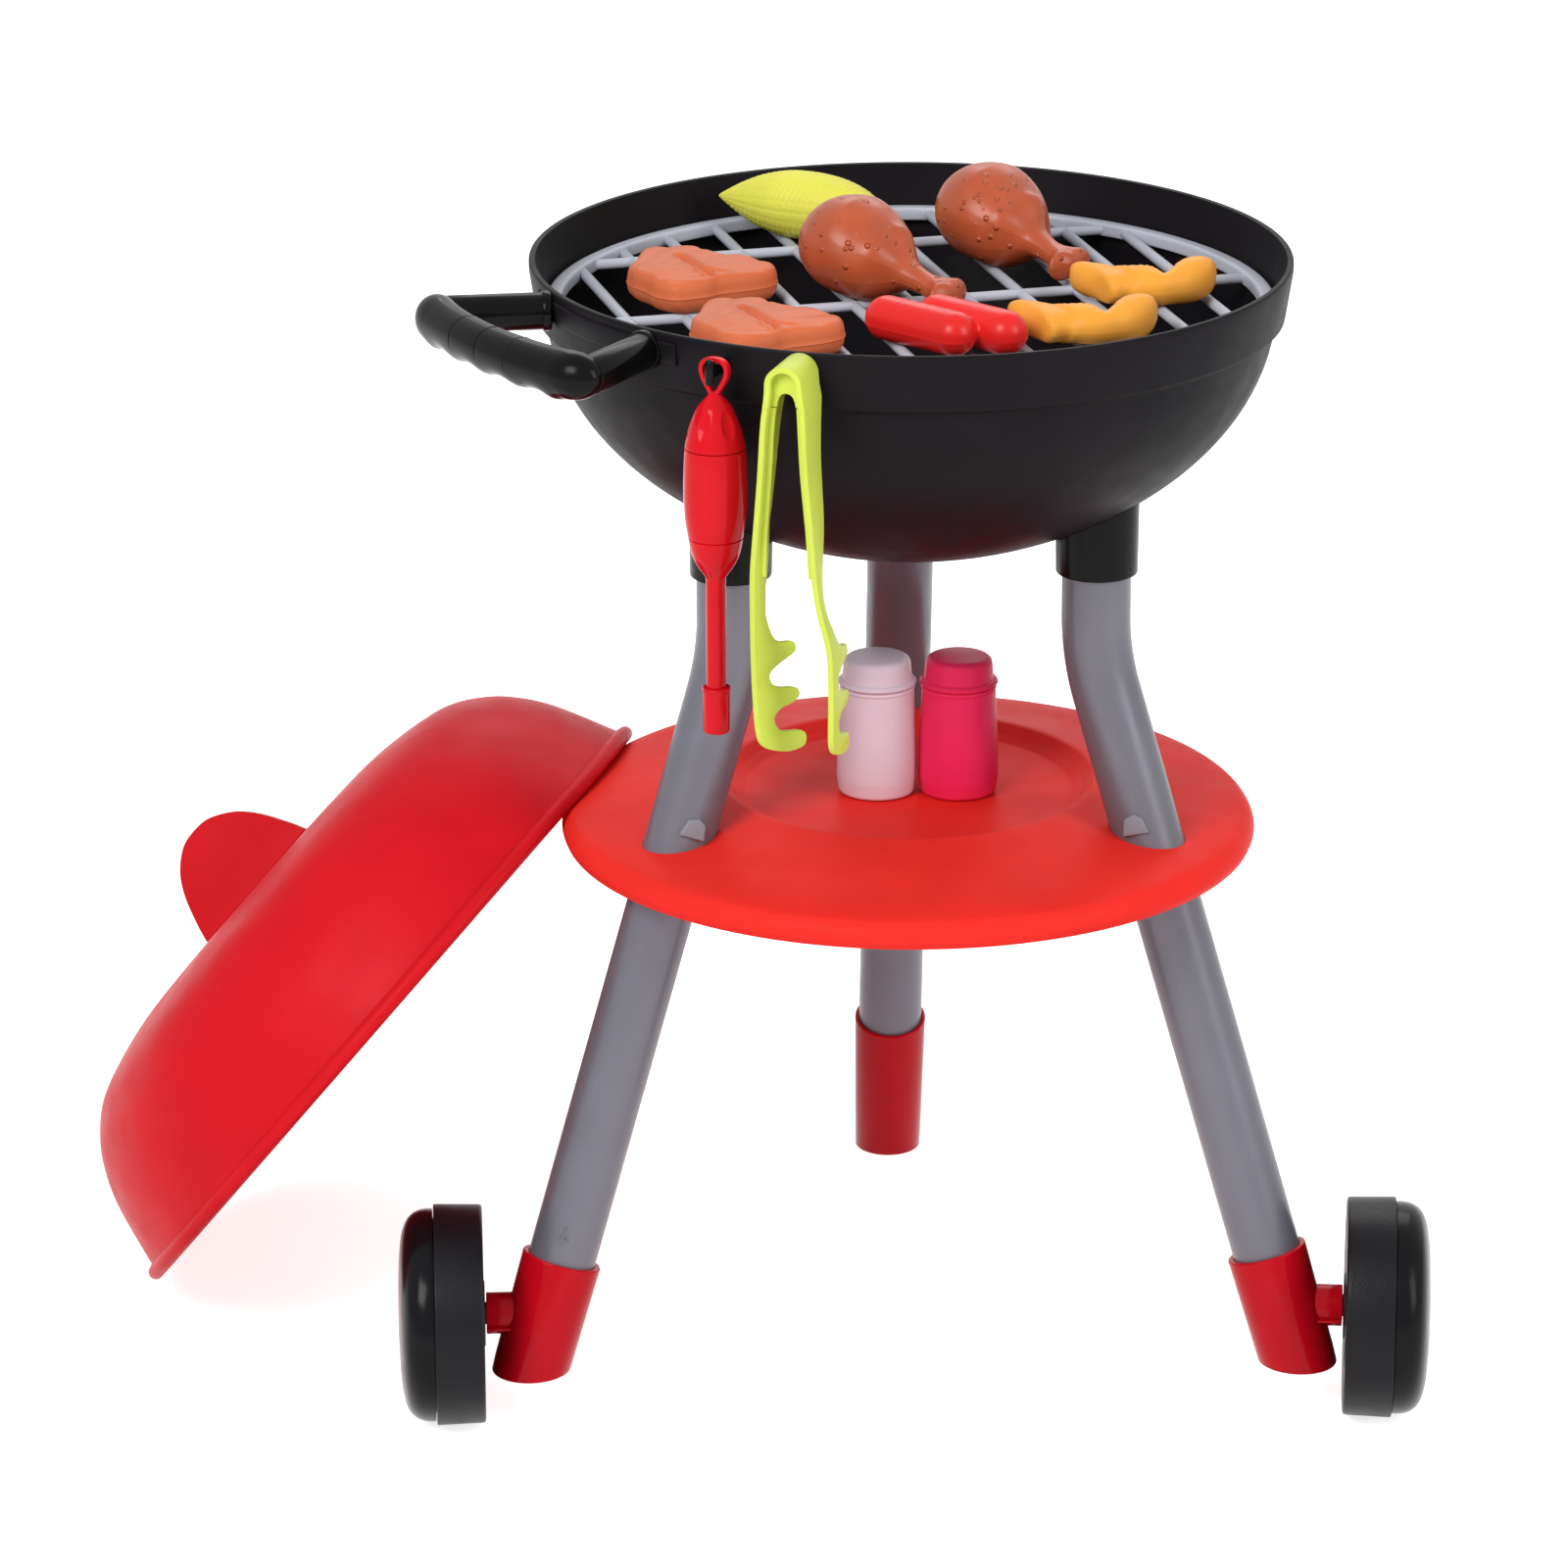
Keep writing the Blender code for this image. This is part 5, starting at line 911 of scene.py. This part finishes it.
def make_drumstick(number, x, y, degrees):
    length, half_wide, half_high = 0.082, 0.0240, 0.0218
    shares = [(0.0, 0.012), (0.006, 0.19), (0.025, 0.40), (0.06, 0.61), (0.11, 0.78), (0.18, 0.915), (0.26, 0.985),
              (0.34, 1.0), (0.42, 0.955), (0.49, 0.85), (0.55, 0.70), (0.60, 0.54), (0.635, 0.42), (0.665, 0.335),
              (0.70, 0.285), (0.76, 0.245), (0.81, 0.235), (0.86, 0.26), (0.90, 0.30), (0.94, 0.32), (0.97, 0.27),
              (0.99, 0.16), (1.0, 0.02)]
    row = curved(shares, 6)
    stations = []
    for place, share in row:
        fall = min(max(0.0, (place - 0.34) / 0.59), 1.0)
        rise = half_high + (0.0085 - half_high) * fall
        share = max(share, 0.012)
        stations.append((length * (place - 0.34), 0.0, rise - 0.0007, half_wide * share, half_high * share))
    meat = drawn_out("drumstick_meat_%d" % number, stations, 96)
    folds = [(0.600, 1.15, 0.0042, 0.0048), (0.615, -0.55, 0.0034, 0.0045), (0.585, 2.5, 0.0030, 0.0050)]

    def swell(spots):
        place = spots[:, 2] / length + 0.34
        fall = np.clip((place - 0.34) / 0.59, 0.0, 1.0)
        middle = half_high + (0.0085 - half_high) * fall - 0.0007
        up = spots[:, 1] - middle
        around = np.arctan2(up, spots[:, 0])
        distance = np.hypot(up, spots[:, 0])
        extra = np.zeros(len(spots))
        for where, angle, height, spread in folds:
            turn = np.arctan2(np.sin(around - angle), np.cos(around - angle))
            away = ((place - where) * length) ** 2 + (turn * 0.010) ** 2
            extra += height * np.exp(-away / (spread * spread))
        knuckle = np.exp(-((place - 0.945) / 0.040) ** 2)
        extra += knuckle * (0.0042 * np.abs(np.cos(around)) ** 1.5 - 0.0010 * np.abs(np.sin(around)))
        hole = ((place - 0.995) * length / 0.0016) ** 2 + (distance / 0.0022) ** 2
        extra -= 0.0012 * np.exp(-hole)
        seam = np.exp(-(np.minimum(np.abs(around + 0.35), np.abs(np.abs(around) - math.pi + 0.35)) * distance / 0.0003) ** 2)
        extra += 0.00022 * seam
        factor = 1.0 + extra / np.maximum(distance, 0.001)
        spots[:, 0] *= factor
        spots[:, 1] = middle + up * factor
        return spots

    press(meat, swell)
    place = move(x, y, 0.4836) @ about_z(degrees) @ lie_along_x()
    finish(meat, "drumstick_brown", "drumstick_%d" % number, ["drumstick_%d" % number], place, 60.0)


STEAK_OUTLINE = ((-0.319, 0.515), (-0.180, 0.525), (-0.044, 0.506), (0.037, 0.391), (0.101, 0.300), (0.200, 0.262),
                 (0.298, 0.222), (0.393, 0.130), (0.488, 0.031), (0.500, -0.061), (0.474, -0.161), (0.340, -0.268),
                 (0.147, -0.353), (0.018, -0.445), (-0.158, -0.515), (-0.301, -0.437), (-0.380, -0.291), (-0.460, -0.169),
                 (-0.500, -0.010), (-0.455, 0.150), (-0.430, 0.330), (-0.395, 0.450))


def make_steak(number, x, y):
    size, thick = 0.0652, 0.0150
    outline = ringed(STEAK_OUTLINE, 9)
    layers = [(0.0, 0.86), (0.02, 0.89), (0.07, 0.93), (0.16, 0.965), (0.28, 0.99), (0.40, 1.0), (0.445, 1.0), (0.47, 1.010),
              (0.495, 1.0), (0.62, 0.995), (0.76, 0.985), (0.86, 0.970), (0.93, 0.950), (0.975, 0.925), (1.0, 0.89)]
    tops = [0.84, 0.80, 0.76, 0.72, 0.68, 0.64, 0.60, 0.56, 0.52, 0.48, 0.44, 0.40, 0.36, 0.32, 0.28, 0.24, 0.20, 0.16,
            0.12, 0.08, 0.04, 0.02]
    piece = begin("steak_cut_%d" % number)
    first = layers[0][1]
    draw([(size * px * first, size * py * first, 0.0) for px, py in outline + outline[:1]])
    bpy.ops.mesh.select_all(action='SELECT')
    bpy.ops.mesh.remove_doubles(threshold=0.000002)
    height, spread = 0.0, first
    for after, wider in layers[1:] + [(1.0, share) for share in tops]:
        bpy.ops.mesh.extrude_region_move(TRANSFORM_OT_translate={"value": (0.0, 0.0, thick * (after - height))})
        bpy.ops.transform.resize(value=(wider / spread, wider / spread, 1.0), center_override=(0.0, 0.0, thick * after))
        height, spread = after, wider
    bpy.ops.mesh.select_all(action='SELECT')
    bpy.ops.mesh.fill_holes(sides=0)
    close_up()
    shift = number * 0.37

    def carve(spots):
        px, py, pz = spots[:, 0] / size, spots[:, 1] / size, spots[:, 2]
        top = np.clip((pz / thick - 0.55) / 0.4, 0.0, 1.0)
        # Flutes that fan from one corner and run down the rim.
        around = np.arctan2(py + 0.35, px + 0.55)
        distance = np.hypot(px, py)
        flutes = np.abs(np.sin(around * 13.0 + 0.8 * px + shift)) ** 0.8
        spots[:, 2] -= top * 0.0008 * (1.0 - flutes) * np.clip(distance * 3.0, 0.0, 1.0)
        edge = np.clip((distance - 0.2) / 0.3, 0.0, 1.0)
        spots[:, 2] -= top * 0.0006 * edge ** 2
        lean = 1.0 - 0.016 * (1.0 - flutes) * (0.6 + 0.4 * top)
        spots[:, 0] *= lean
        spots[:, 1] *= lean
        # The T bone: a raised rim round a long groove, and its short arms.
        for ax, ay, bx, by, wide, deep in ((-0.15, 0.20, 0.04, -0.26, 0.026, 0.0022), (0.0, -0.19, 0.16, -0.24, 0.020, 0.0012),
                                           (0.04, -0.26, 0.06, -0.34, 0.020, 0.0012)):
            dx, dy = bx - ax, by - ay
            t = np.clip(((px - ax) * dx + (py - ay) * dy) / (dx * dx + dy * dy), 0.0, 1.0)
            away = np.hypot(px - ax - dx * t, py - ay - dy * t)
            full = top > 0.9
            spots[:, 2] -= np.where(full, deep * np.exp(-(away / wide) ** 2), 0.0)
            spots[:, 2] += np.where(full, 0.0006 * np.exp(-((away - wide * 1.9) / (wide * 0.7)) ** 2), 0.0)
        return spots

    press(piece, carve)
    finish(piece, "steak_brown", "steak_%d" % number, ["steak_%d" % number], move(x, y, 0.4838), 60.0)


def make_sausages():
    """Two plump sausages in one moulding, one a little ahead of the other, with the mould's seam."""
    length, radius, spread, stagger = 0.0566, 0.0096, 0.0157, 0.0147
    pair = []
    for sign in (-1.0, 1.0):
        ends = []
        for i in range(11):
            angle = math.pi / 2 * i / 10
            ends.append((-length / 2 + radius * (1 - math.cos(angle)), max(math.sin(angle), 0.02)))
        ends += [(-z, share) for z, share in reversed(ends)]
        rows = [(z + sign * stagger / 2, sign * spread / 2, 0.0, radius * share, radius * share)
                for z, share in ends]
        pair.append(drawn_out("sausage", rows, 48))
    both = pair[0]
    fuse(both, pair[1])
    hold(both, 'REMESH', mode='VOXEL', voxel_size=0.0006, use_smooth_shade=True)
    hold(both, 'SMOOTH', factor=0.6, iterations=10)

    def seam(spots):
        raised = np.exp(-((spots[:, 1] + 0.0022) / 0.00045) ** 2)
        spots[:, 0] *= 1.0 + 0.018 * raised
        spots[:, 2] *= 1.0 + 0.006 * raised
        return spots

    press(both, seam)
    both.name = "sausage_pair"
    place = move(0.0114, -0.0818, 0.4837 + radius) @ about_z(-44.0) @ lie_along_x()
    finish(both, "sausage_red", "sausages", ["sausages"], place, 60.0)


WING_ROW = ((-0.0322, 0.0118, 0.0028, 0.0028), (-0.0308, 0.0100, 0.0058, 0.0052), (-0.0270, 0.0068, 0.0082, 0.0070),
            (-0.0215, 0.0026, 0.0090, 0.0076), (-0.0150, -0.0010, 0.0090, 0.0076), (-0.0070, -0.0032, 0.0098, 0.0080),
            (0.0010, -0.0038, 0.0106, 0.0086), (0.0075, -0.0028, 0.0104, 0.0087), (0.0135, 0.0010, 0.0110, 0.0093),
            (0.0200, 0.0058, 0.0118, 0.0098), (0.0255, 0.0098, 0.0108, 0.0090), (0.0292, 0.0128, 0.0080, 0.0068),
            (0.0312, 0.0150, 0.0034, 0.0030))


def make_wing(number, x, y, degrees):
    stations = []
    for z, bend, wide, high in curved(WING_ROW, 6):
        stations.append((z, bend, 0.0, wide, high))
    meat = drawn_out("wing_meat_%d" % number, stations, 80)

    def fold(spots):
        along, side, up = spots[:, 2], spots[:, 0], spots[:, 1]
        top = np.clip(up / 0.006, 0.0, 1.0)
        # Fine skin ridges over the middle.
        middle = np.exp(-((along + 0.0015) / 0.0085) ** 2)
        ridges = np.sin((along + 0.25 * side) / 0.0011 * math.pi)
        change = 0.00022 * ridges * middle * top
        # The notch at the back, where the forearm meets the round upper arm, and two lines over the arm.
        notch = np.exp(-(np.abs(along - 0.0085) / 0.0036) ** 1.4) * np.clip((side + 0.0105) / 0.010, 0.0, 1.0)
        spots[:, 0] -= 0.0056 * notch * np.clip((side + 0.002) / 0.006, 0.0, 1.0)
        change -= 0.0052 * notch * np.clip(up / 0.005, 0.0, 1.0)
        for where in (0.0130, 0.0162):
            change -= 0.0005 * np.exp(-((along - where + 0.25 * side) / 0.0007) ** 2) * np.clip(top + 0.3, 0.0, 1.0)
        # The folded tip: a crease, and a flap that points forward.
        crease = np.exp(-((along + 0.0125 + 0.60 * side) / 0.0014) ** 2) * np.clip(top + 0.5, 0.0, 1.0)
        change -= 0.0015 * crease * np.clip(0.6 - side / 0.006, 0.0, 1.0)
        flap = np.exp(-((along + 0.0190 + 0.50 * side) / 0.0040) ** 2) * np.clip(-side / 0.006, 0.0, 1.0)
        spots[:, 0] -= 0.0070 * flap
        spots[:, 1] += change
        seam = np.exp(-((up + 0.0022) / 0.0003) ** 2)
        spots[:, 0] *= 1.0 + 0.012 * seam
        return spots

    press(meat, fold)
    place = move(x, y, 0.4837 + 0.0088) @ about_z(degrees) @ lie_along_x()
    finish(meat, "wing_orange", "wing_%d" % number, ["wing_%d" % number], place, 60.0)


# Tongs and baster

TONGS_TOP, TONGS_HALF, HINGE_HALF, TONGS_SKIN = 0.5017, 0.0067, 0.0078, 0.0025
TONGS_FRONT, TONGS_BACK = 0.0106, -0.0134
HINGE_Z = 0.4852
ARM_LONG = 0.1449
ARM_SPREADS = {
    "left": ((0.0, 0.0), (0.05, 0.0013), (0.175, 0.0026), (0.354, 0.0053), (0.50, 0.0078), (0.61, 0.0081),
             (0.70, 0.0083), (0.85, 0.0081), (1.0, 0.0070), (1.06, 0.0066)),
    "right": ((0.0, 0.0), (0.10, 0.0003), (0.20, 0.0007), (0.365, 0.0025), (0.50, 0.0035), (0.61, 0.0057),
              (0.69, 0.0096), (0.85, 0.0097), (1.0, 0.0088), (1.06, 0.0085))}
ARM_TWISTS = {"left": 22.0, "right": 4.0}
# The claw side of an arm: distance in from its outer edge, and share of its length.
CLAW_EDGE = ((0.0082, 0.545), (0.0077, 0.582), (0.0084, 0.628), (0.0125, 0.6935), (0.0175, 0.7175), (0.0235, 0.7265),
             (0.0264, 0.7385), (0.0266, 0.7600), (0.0229, 0.7712), (0.0160, 0.7825), (0.0106, 0.7970), (0.0097, 0.8150),
             (0.0120, 0.8380), (0.0170, 0.8530), (0.0240, 0.8655), (0.0275, 0.8790), (0.0273, 0.9010), (0.0225, 0.9120),
             (0.0160, 0.9152), (0.0116, 0.9300), (0.0111, 0.9500), (0.0140, 0.9770), (0.0190, 0.9885), (0.0255, 0.9985),
             (0.0294, 1.0120), (0.0302, 1.0340), (0.0280, 1.0520), (0.0200, 1.0520), (0.0120, 1.0370), (0.0055, 1.0180),
             (0.0014, 0.9900), (0.0, 0.9450))


def tongs_place():
    """The tongs' axes on their hook: X outward along their depth, Y across."""
    hang = move(0.0, 0.0, 0.4997)
    tilt = hang @ Matrix.Rotation(math.radians(1.4), 4, 'X') @ hang.inverted()
    return about_z(-108.35) @ move(0.1790, 0.0, 0.0) @ about_z(-0.8) @ tilt


def trim(piece, spot, normal, clear=True):
    """Cut the piece at a plane; what lies beyond it is cleared and the cut closed."""
    only(piece)
    bpy.ops.object.mode_set(mode='EDIT')
    bpy.ops.mesh.select_all(action='SELECT')
    bpy.ops.mesh.bisect(plane_co=spot, plane_no=normal, use_fill=clear, clear_outer=clear)
    bpy.ops.object.mode_set(mode='OBJECT')
    return piece


def arch_row(half, top, steps=24):
    """Points over an arch from left to right."""
    row = []
    for i in range(steps + 1):
        angle = math.pi - math.pi * i / steps
        row.append((half * math.cos(angle), top - half + half * math.sin(angle)))
    return row


def stand_across(piece):
    """A slab drawn in X and Y stands up across the tongs: Y becomes height, Z becomes depth."""
    only(piece)
    piece.matrix_world = Matrix(((0, 0, 1, 0), (1, 0, 0, 0), (0, 1, 0, 0), (0, 0, 0, 1)))
    bpy.ops.object.transform_apply(location=True, rotation=True, scale=True)
    return piece


def make_crown():
    low = HINGE_Z - 0.003
    skin = TONGS_SKIN / 2
    flare = curved([(TONGS_HALF, TONGS_TOP - TONGS_HALF), (TONGS_HALF + 0.0003, 0.4905), (HINGE_HALF, HINGE_Z),
                    (HINGE_HALF + 0.0004, low)], 4)[1:]
    outline = []
    for grow, arch in ((skin, 1), (-skin, -1)):
        side = [(-y - grow, z) for y, z in reversed(flare)]
        side += arch_row(TONGS_HALF + grow, TONGS_TOP + grow) + [(y + grow, z) for y, z in flare]
        outline += side[::arch]
    arch = stand_across(slab("tongs_arch", outline, TONGS_BACK, TONGS_FRONT, 0.0007, 3))
    grow = 0.0003 - skin
    outline = [(-y - grow, z) for y, z in reversed(flare)]
    outline += arch_row(TONGS_HALF + grow, TONGS_TOP + grow) + [(y + grow, z) for y, z in flare]
    gap = [(-y, z) for y, z in ((0.0044, low), (0.0036, 0.4880))] + arch_row(0.0034, 0.4909) + [(0.0036, 0.4880), (0.0044, low)]
    outline += gap[::-1]
    web = stand_across(slab("tongs_arch_web", outline, TONGS_FRONT - 0.0064, TONGS_FRONT - 0.0044, 0.0004, 2))
    for part in (arch, web):
        trim(part, (0.0, 0.0, HINGE_Z), (0.0, 0.0, -1.0))
    join(arch, web)
    arch.name = "tongs_arch"
    finish(arch, "tongs_lime", "tongs", ["tongs_crown"], tongs_place(), 35.0)


def make_arm(side):
    """An arm cut flat with its claws and rib, then bowed and twisted to its place."""
    sign = -1.0 if side == "left" else 1.0
    skin = TONGS_SKIN / 2
    inner = [(TONGS_FRONT - TONGS_BACK, -0.05), (0.0240, 0.0), (0.0199, 0.14), (0.0168, 0.32), (0.0120, 0.46)]
    row = [(0.0, -0.05), (0.0240, -0.05)] + curved(inner[1:], 3)[:-1] + curved(inner[-1:] + list(CLAW_EDGE), 4)[:-1]
    row.append((0.0, 0.92))
    blade = slab("tongs_blade_" + side, [(u, -share * ARM_LONG) for u, share in row], -skin, skin, 0.0006, 3)
    rib = slab("tongs_rib_" + side, [(0.0044, 0.004), (0.0064, 0.004), (0.0060, -0.502 * ARM_LONG), (0.0048, -0.502 * ARM_LONG)],
               0.0, skin + 0.0024, 0.0004, 2)
    for part, last in ((blade, 40), (rib, 19)):
        for i in range(1, last + 1):
            trim(part, (0.0, -ARM_LONG * i / 38.0, 0.0), (0.0, 1.0, 0.0), False)
        trim(part, (0.0, -0.0004 if part is rib else 0.0, 0.0), (0.0, 1.0, 0.0))
    join(blade, rib)
    places, spreads = zip(*ARM_SPREADS[side])

    def bow(spots):
        inward, down, proud = spots[:, 0].copy(), -spots[:, 1].copy(), spots[:, 2].copy()
        share = down / ARM_LONG
        part = np.clip((share - 0.34) / 0.24, 0.0, 1.0)
        twist = math.radians(ARM_TWISTS[side]) * part * part * (3.0 - 2.0 * part)
        knots = np.linspace(0.0, 1.06, 160)
        even = np.interp(knots, places, spreads)
        soft = np.convolve(np.pad(even, 8, mode="edge"), np.ones(17) / 17.0, mode="valid")
        soft = even + (soft - even) * np.clip(knots / 0.05, 0.0, 1.0)
        aside = HINGE_HALF + np.interp(share, knots, soft)
        spots[:, 0] = TONGS_FRONT - inward * np.cos(twist) + proud * np.sin(twist)
        spots[:, 1] = sign * (aside - inward * np.sin(twist) - proud * np.cos(twist))
        spots[:, 2] = HINGE_Z - 0.00008 - down
        return spots

    press(blade, bow)
    only(blade)
    bpy.ops.object.mode_set(mode='EDIT')
    close_up(0.0000005)
    blade.name = "tongs_blade_" + side
    finish(blade, "tongs_lime", "tongs_arm_" + side, ["tongs_arm_" + side], tongs_place(), 35.0)


def make_strap():
    """The teardrop loop that the baster hangs by."""
    half_row = [(0.0004, 0.4838), (0.0016, 0.4852), (0.0034, 0.4880), (0.0051, 0.4911), (0.0059, 0.4941), (0.0053, 0.4968),
                (0.0033, 0.4984), (0.0, 0.4989)]
    row = curved(half_row + [(-y, z) for y, z in reversed(half_row[:-1])], 4)
    strap = begin("baster_strap")
    draw([(-0.0016, y, z) for y, z in row])
    bpy.ops.mesh.select_all(action='SELECT')
    bpy.ops.mesh.extrude_region_move(TRANSFORM_OT_translate={"value": (0.0032, 0.0, 0.0)})
    close_up()
    hold(strap, 'SOLIDIFY', thickness=0.0019, offset=0.0)
    hold(strap, 'BEVEL', width=0.0006, segments=3, limit_method='ANGLE', angle_limit=math.radians(50.0))
    return strap


def make_baster():
    place = about_z(-119.8) @ move(0.1745, 0.0, 0.0)
    cap_row = [(0.0, 0.4856), (0.0014, 0.4854), (0.0026, 0.4842), (0.0038, 0.4827), (0.0055, 0.4808), (0.0076, 0.4779),
               (0.0104, 0.4714), (0.01215, 0.4644), (0.01262, 0.4616)]
    cap = turned("baster_dome", curved(cap_row, 6) + [(0.01235, 0.46125), (0.0, 0.46125)], 120)

    def dimples(spots):
        around = np.arctan2(spots[:, 1], spots[:, 0])
        distance = np.hypot(spots[:, 0], spots[:, 1])
        extra = np.zeros(len(spots))
        for k in range(6):
            angle = math.tau * k / 6 + 0.03
            turn = np.arctan2(np.sin(around - angle), np.cos(around - angle))
            away = np.hypot(turn * distance / 0.0024, (spots[:, 2] - 0.4722) / 0.0046)
            extra -= 0.0011 * np.clip(1.25 - away, 0.0, 0.8) ** 0.7 * (away < 1.25)
        factor = 1.0 + extra / np.maximum(distance, 0.003)
        spots[:, 0] *= factor
        spots[:, 1] *= factor
        return spots

    hold(cap, 'SUBSURF', levels=1, render_levels=1)
    press(cap, dimples)
    join(cap, make_strap())
    cap.name = "baster_dome"
    finish(cap, "baster_red", "baster", ["baster_top"], place, 40.0)
    side = curved([(0.01266, 0.4608), (0.01300, 0.4550), (0.01325, 0.4444), (0.01305, 0.4355), (0.01250, 0.4289),
                   (0.01150, 0.42305)], 5)
    barrel = turned("baster_body", [(0.0, 0.4611), (0.0124, 0.4611)] + side + [(0.0112, 0.42285), (0.0, 0.42285)], 96)
    finish(barrel, "baster_red", "baster", ["baster_barrel"], place, 35.0)
    front = curved([(0.01138, 0.4223), (0.0108, 0.4192), (0.0097, 0.4148), (0.0076, 0.4105), (0.0050, 0.4067)], 5)
    nose = turned("baster_spout", [(0.0, 0.42265), (0.0111, 0.42265)] + front
                  + rounded([front[-1], (0.0042, 0.4055, 0.0012), (0.0041, 0.3450), (0.0, 0.3450)], 5)[1:], 72)
    finish(nose, "baster_red", "baster", ["baster_nose"], place, 35.0)
    tip = turned("baster_nozzle", rounded([(0.0042, 0.3577), (0.0060, 0.3577, 0.0006), (0.0060, 0.3562, 0.0004),
                                           (0.0057, 0.3557, 0.0004), (0.0056, 0.3384, 0.0010), (0.0046, 0.3376, 0.0005),
                                           (0.0043, 0.3400), (0.0, 0.3400)], 5), 72)
    finish(tip, "baster_red", "baster", ["baster_tip"], place, 35.0)


place_camera()
light_studio()
lay_floor()
make_bowl()
make_grate()
make_handle()
make_hook("baster", -119.8)
make_hook("tongs", -108.35)
for leg, end in (("front_left", 0.045), ("front_right", 0.045), ("rear", 0.022)):
    make_leg(leg, end)
    make_socket(leg)
make_lug("front_left", 74.0)
make_lug("front_right", -76.5)
make_arrow()
make_shelf()
for wheel_side in ("left", "right"):
    make_front_foot(wheel_side)
    make_wheel(wheel_side)
make_rear_foot()
make_lid()
make_shaker("white", -0.0141, -0.0044)
make_shaker("pink", 0.0220, -0.0054)
make_corn()
make_drumstick(1, -0.0215, 0.0062, -43.0)
make_drumstick(2, 0.0398, 0.0622, -52.0)
make_steak(1, -0.0903, 0.0037)
make_steak(2, -0.0640, -0.0830)
make_sausages()
make_wing(1, 0.1002, -0.0125, -4.0)
make_wing(2, 0.0700, -0.0740, -3.0)
make_crown()
make_arm("left")
make_arm("right")
make_baster()
